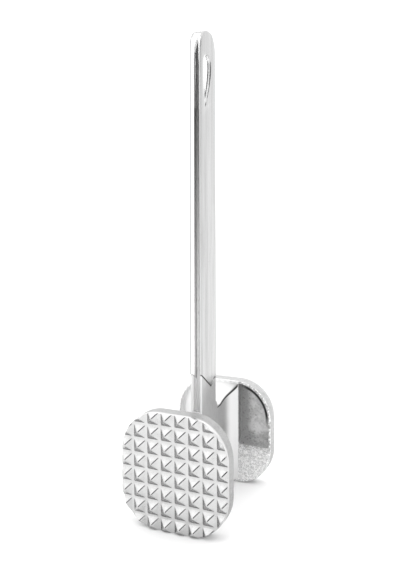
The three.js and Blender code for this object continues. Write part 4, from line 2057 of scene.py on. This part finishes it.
@dataclass
class Studio:
    """The pale floor, the soft lights and the camera at the photograph's viewing angle.

    Attributes:
        camera_place: the lens, in metres.
        heading: degrees from straight ahead to the left.
        dip: degrees below level.
        tilt: degrees of roll.
        focal: focal length in photograph pixels.
        level_row: the row of the photograph that is straight ahead of the lens.
        sensor: the sensor's height, in millimetres.
        surround: strength of the white surround.
        overhead: strength of the light from above.
        spread: how wide that light is, in degrees.
        overhead_turn: how far it leans about X and Y, in degrees.
        floor_level: the floor's colour level.
        floor_half: half the floor's width, in metres.
        dark_level: the colour level of the room's dark side.
        dark_place: where that stands, along Y.
        dark_corners: its corners, X and Z: where the teeth's ridges look and the handle's lips do not.
    """

    camera_place: tuple[float, float, float] = (0.1398, -0.3243, 0.1659)
    heading: float = 23.499
    dip: float = 0.264
    tilt: float = 0.186
    focal: float = 680.86
    level_row: float = 185.0
    sensor: float = 36.0
    surround: float = 1.6
    overhead: float = 0.6
    spread: float = 100.0
    overhead_turn: Pair = (-12.0, -8.0)
    floor_level: float = 0.9
    floor_half: float = 4.0
    dark_level: float = 0.02
    dark_place: float = -3.0
    dark_corners: tuple[Pair, ...] = ((-0.4, 0.9), (2.4, 0.9), (2.4, 3.4), (-0.4, 3.4))

    def add_camera(self) -> None:
        """Place the camera, its lens shifted so that uprights stay upright."""
        data = bpy.data.cameras.new("camera")
        camera = bpy.data.objects.new("camera", data)
        bpy.context.scene.collection.objects.link(camera)
        data.sensor_width = self.sensor
        data.lens = self.focal / PHOTO_HEIGHT * self.sensor
        data.shift_y = (self.level_row - PHOTO_HEIGHT / 2) / PHOTO_HEIGHT
        data.clip_start = 0.01
        data.dof.use_dof = False
        turn = Matrix.Rotation(math.radians(self.heading), 4, "Z")
        lean = Matrix.Rotation(math.radians(90.0 - self.dip), 4, "X")
        roll = Matrix.Rotation(math.radians(-self.tilt), 4, "Z")
        camera.matrix_world = Matrix.Translation(self.camera_place) @ turn @ lean @ roll
        bpy.context.scene.camera = camera

    def add_lights(self) -> None:
        """A plain white surround and a wide soft light from above."""
        world = bpy.data.worlds.new("surround")
        world.use_nodes = True
        background = world.node_tree.nodes["Background"]
        background.inputs["Color"].default_value = grey(1.0)
        background.inputs["Strength"].default_value = self.surround
        bpy.context.scene.world = world
        data = bpy.data.lights.new("overhead", "SUN")
        data.energy = self.overhead
        data.angle = math.radians(self.spread)
        lamp = bpy.data.objects.new("overhead", data)
        lamp.rotation_euler = (*np.radians(self.overhead_turn), 0.0)
        bpy.context.scene.collection.objects.link(lamp)

    @staticmethod
    def _sheet(name: str, corners: list[tuple[float, float, float]], level: float) -> None:
        """A flat stage piece.

        Args:
            name: its name.
            corners: its corners, in metres.
            level: its colour level.
        """
        mesh = bpy.data.meshes.new(name)
        mesh.from_pydata(corners, [], [tuple(range(len(corners)))])
        mesh.materials.append(Shader(name + "_colour").matt(level))
        sheet = bpy.data.objects.new(name, mesh)
        bpy.context.scene.collection.objects.link(sheet)

    def add_floor(self) -> None:
        """A wide white floor that keeps the object's shadow."""
        signs = ((-1, -1), (1, -1), (1, 1), (-1, 1))
        corners = [(x * self.floor_half, y * self.floor_half, 0.0) for x, y in signs]
        self._sheet("floor", corners, self.floor_level)

    def add_dark_side(self) -> None:
        """The dark side of the room behind the camera, which shows only in the metal's rounded edges."""
        self._sheet("dark_side", [(x, self.dark_place, z) for x, z in self.dark_corners], self.dark_level)

    def build(self) -> None:
        """Make the whole studio."""
        bpy.context.scene.view_settings.view_transform = "Standard"
        self.add_camera()
        self.add_lights()
        self.add_floor()
        self.add_dark_side()


def main() -> None:
    """Build the studio and the pieces in order."""
    logging.basicConfig(level=logging.INFO, format="%(name)s: %(message)s")
    Studio().build()
    FacePlate("coarse_face_plate", Finish.COARSE, COARSE, rear=False).build()
    FacePlate("fine_face_plate", Finish.FINE, FINE, rear=True).build()
    WebAndTang("web_and_tang", Finish.WEB).build()
    Sleeve("handle_sleeve", Finish.SLEEVE).build()


if __name__ == "__main__":
    main()
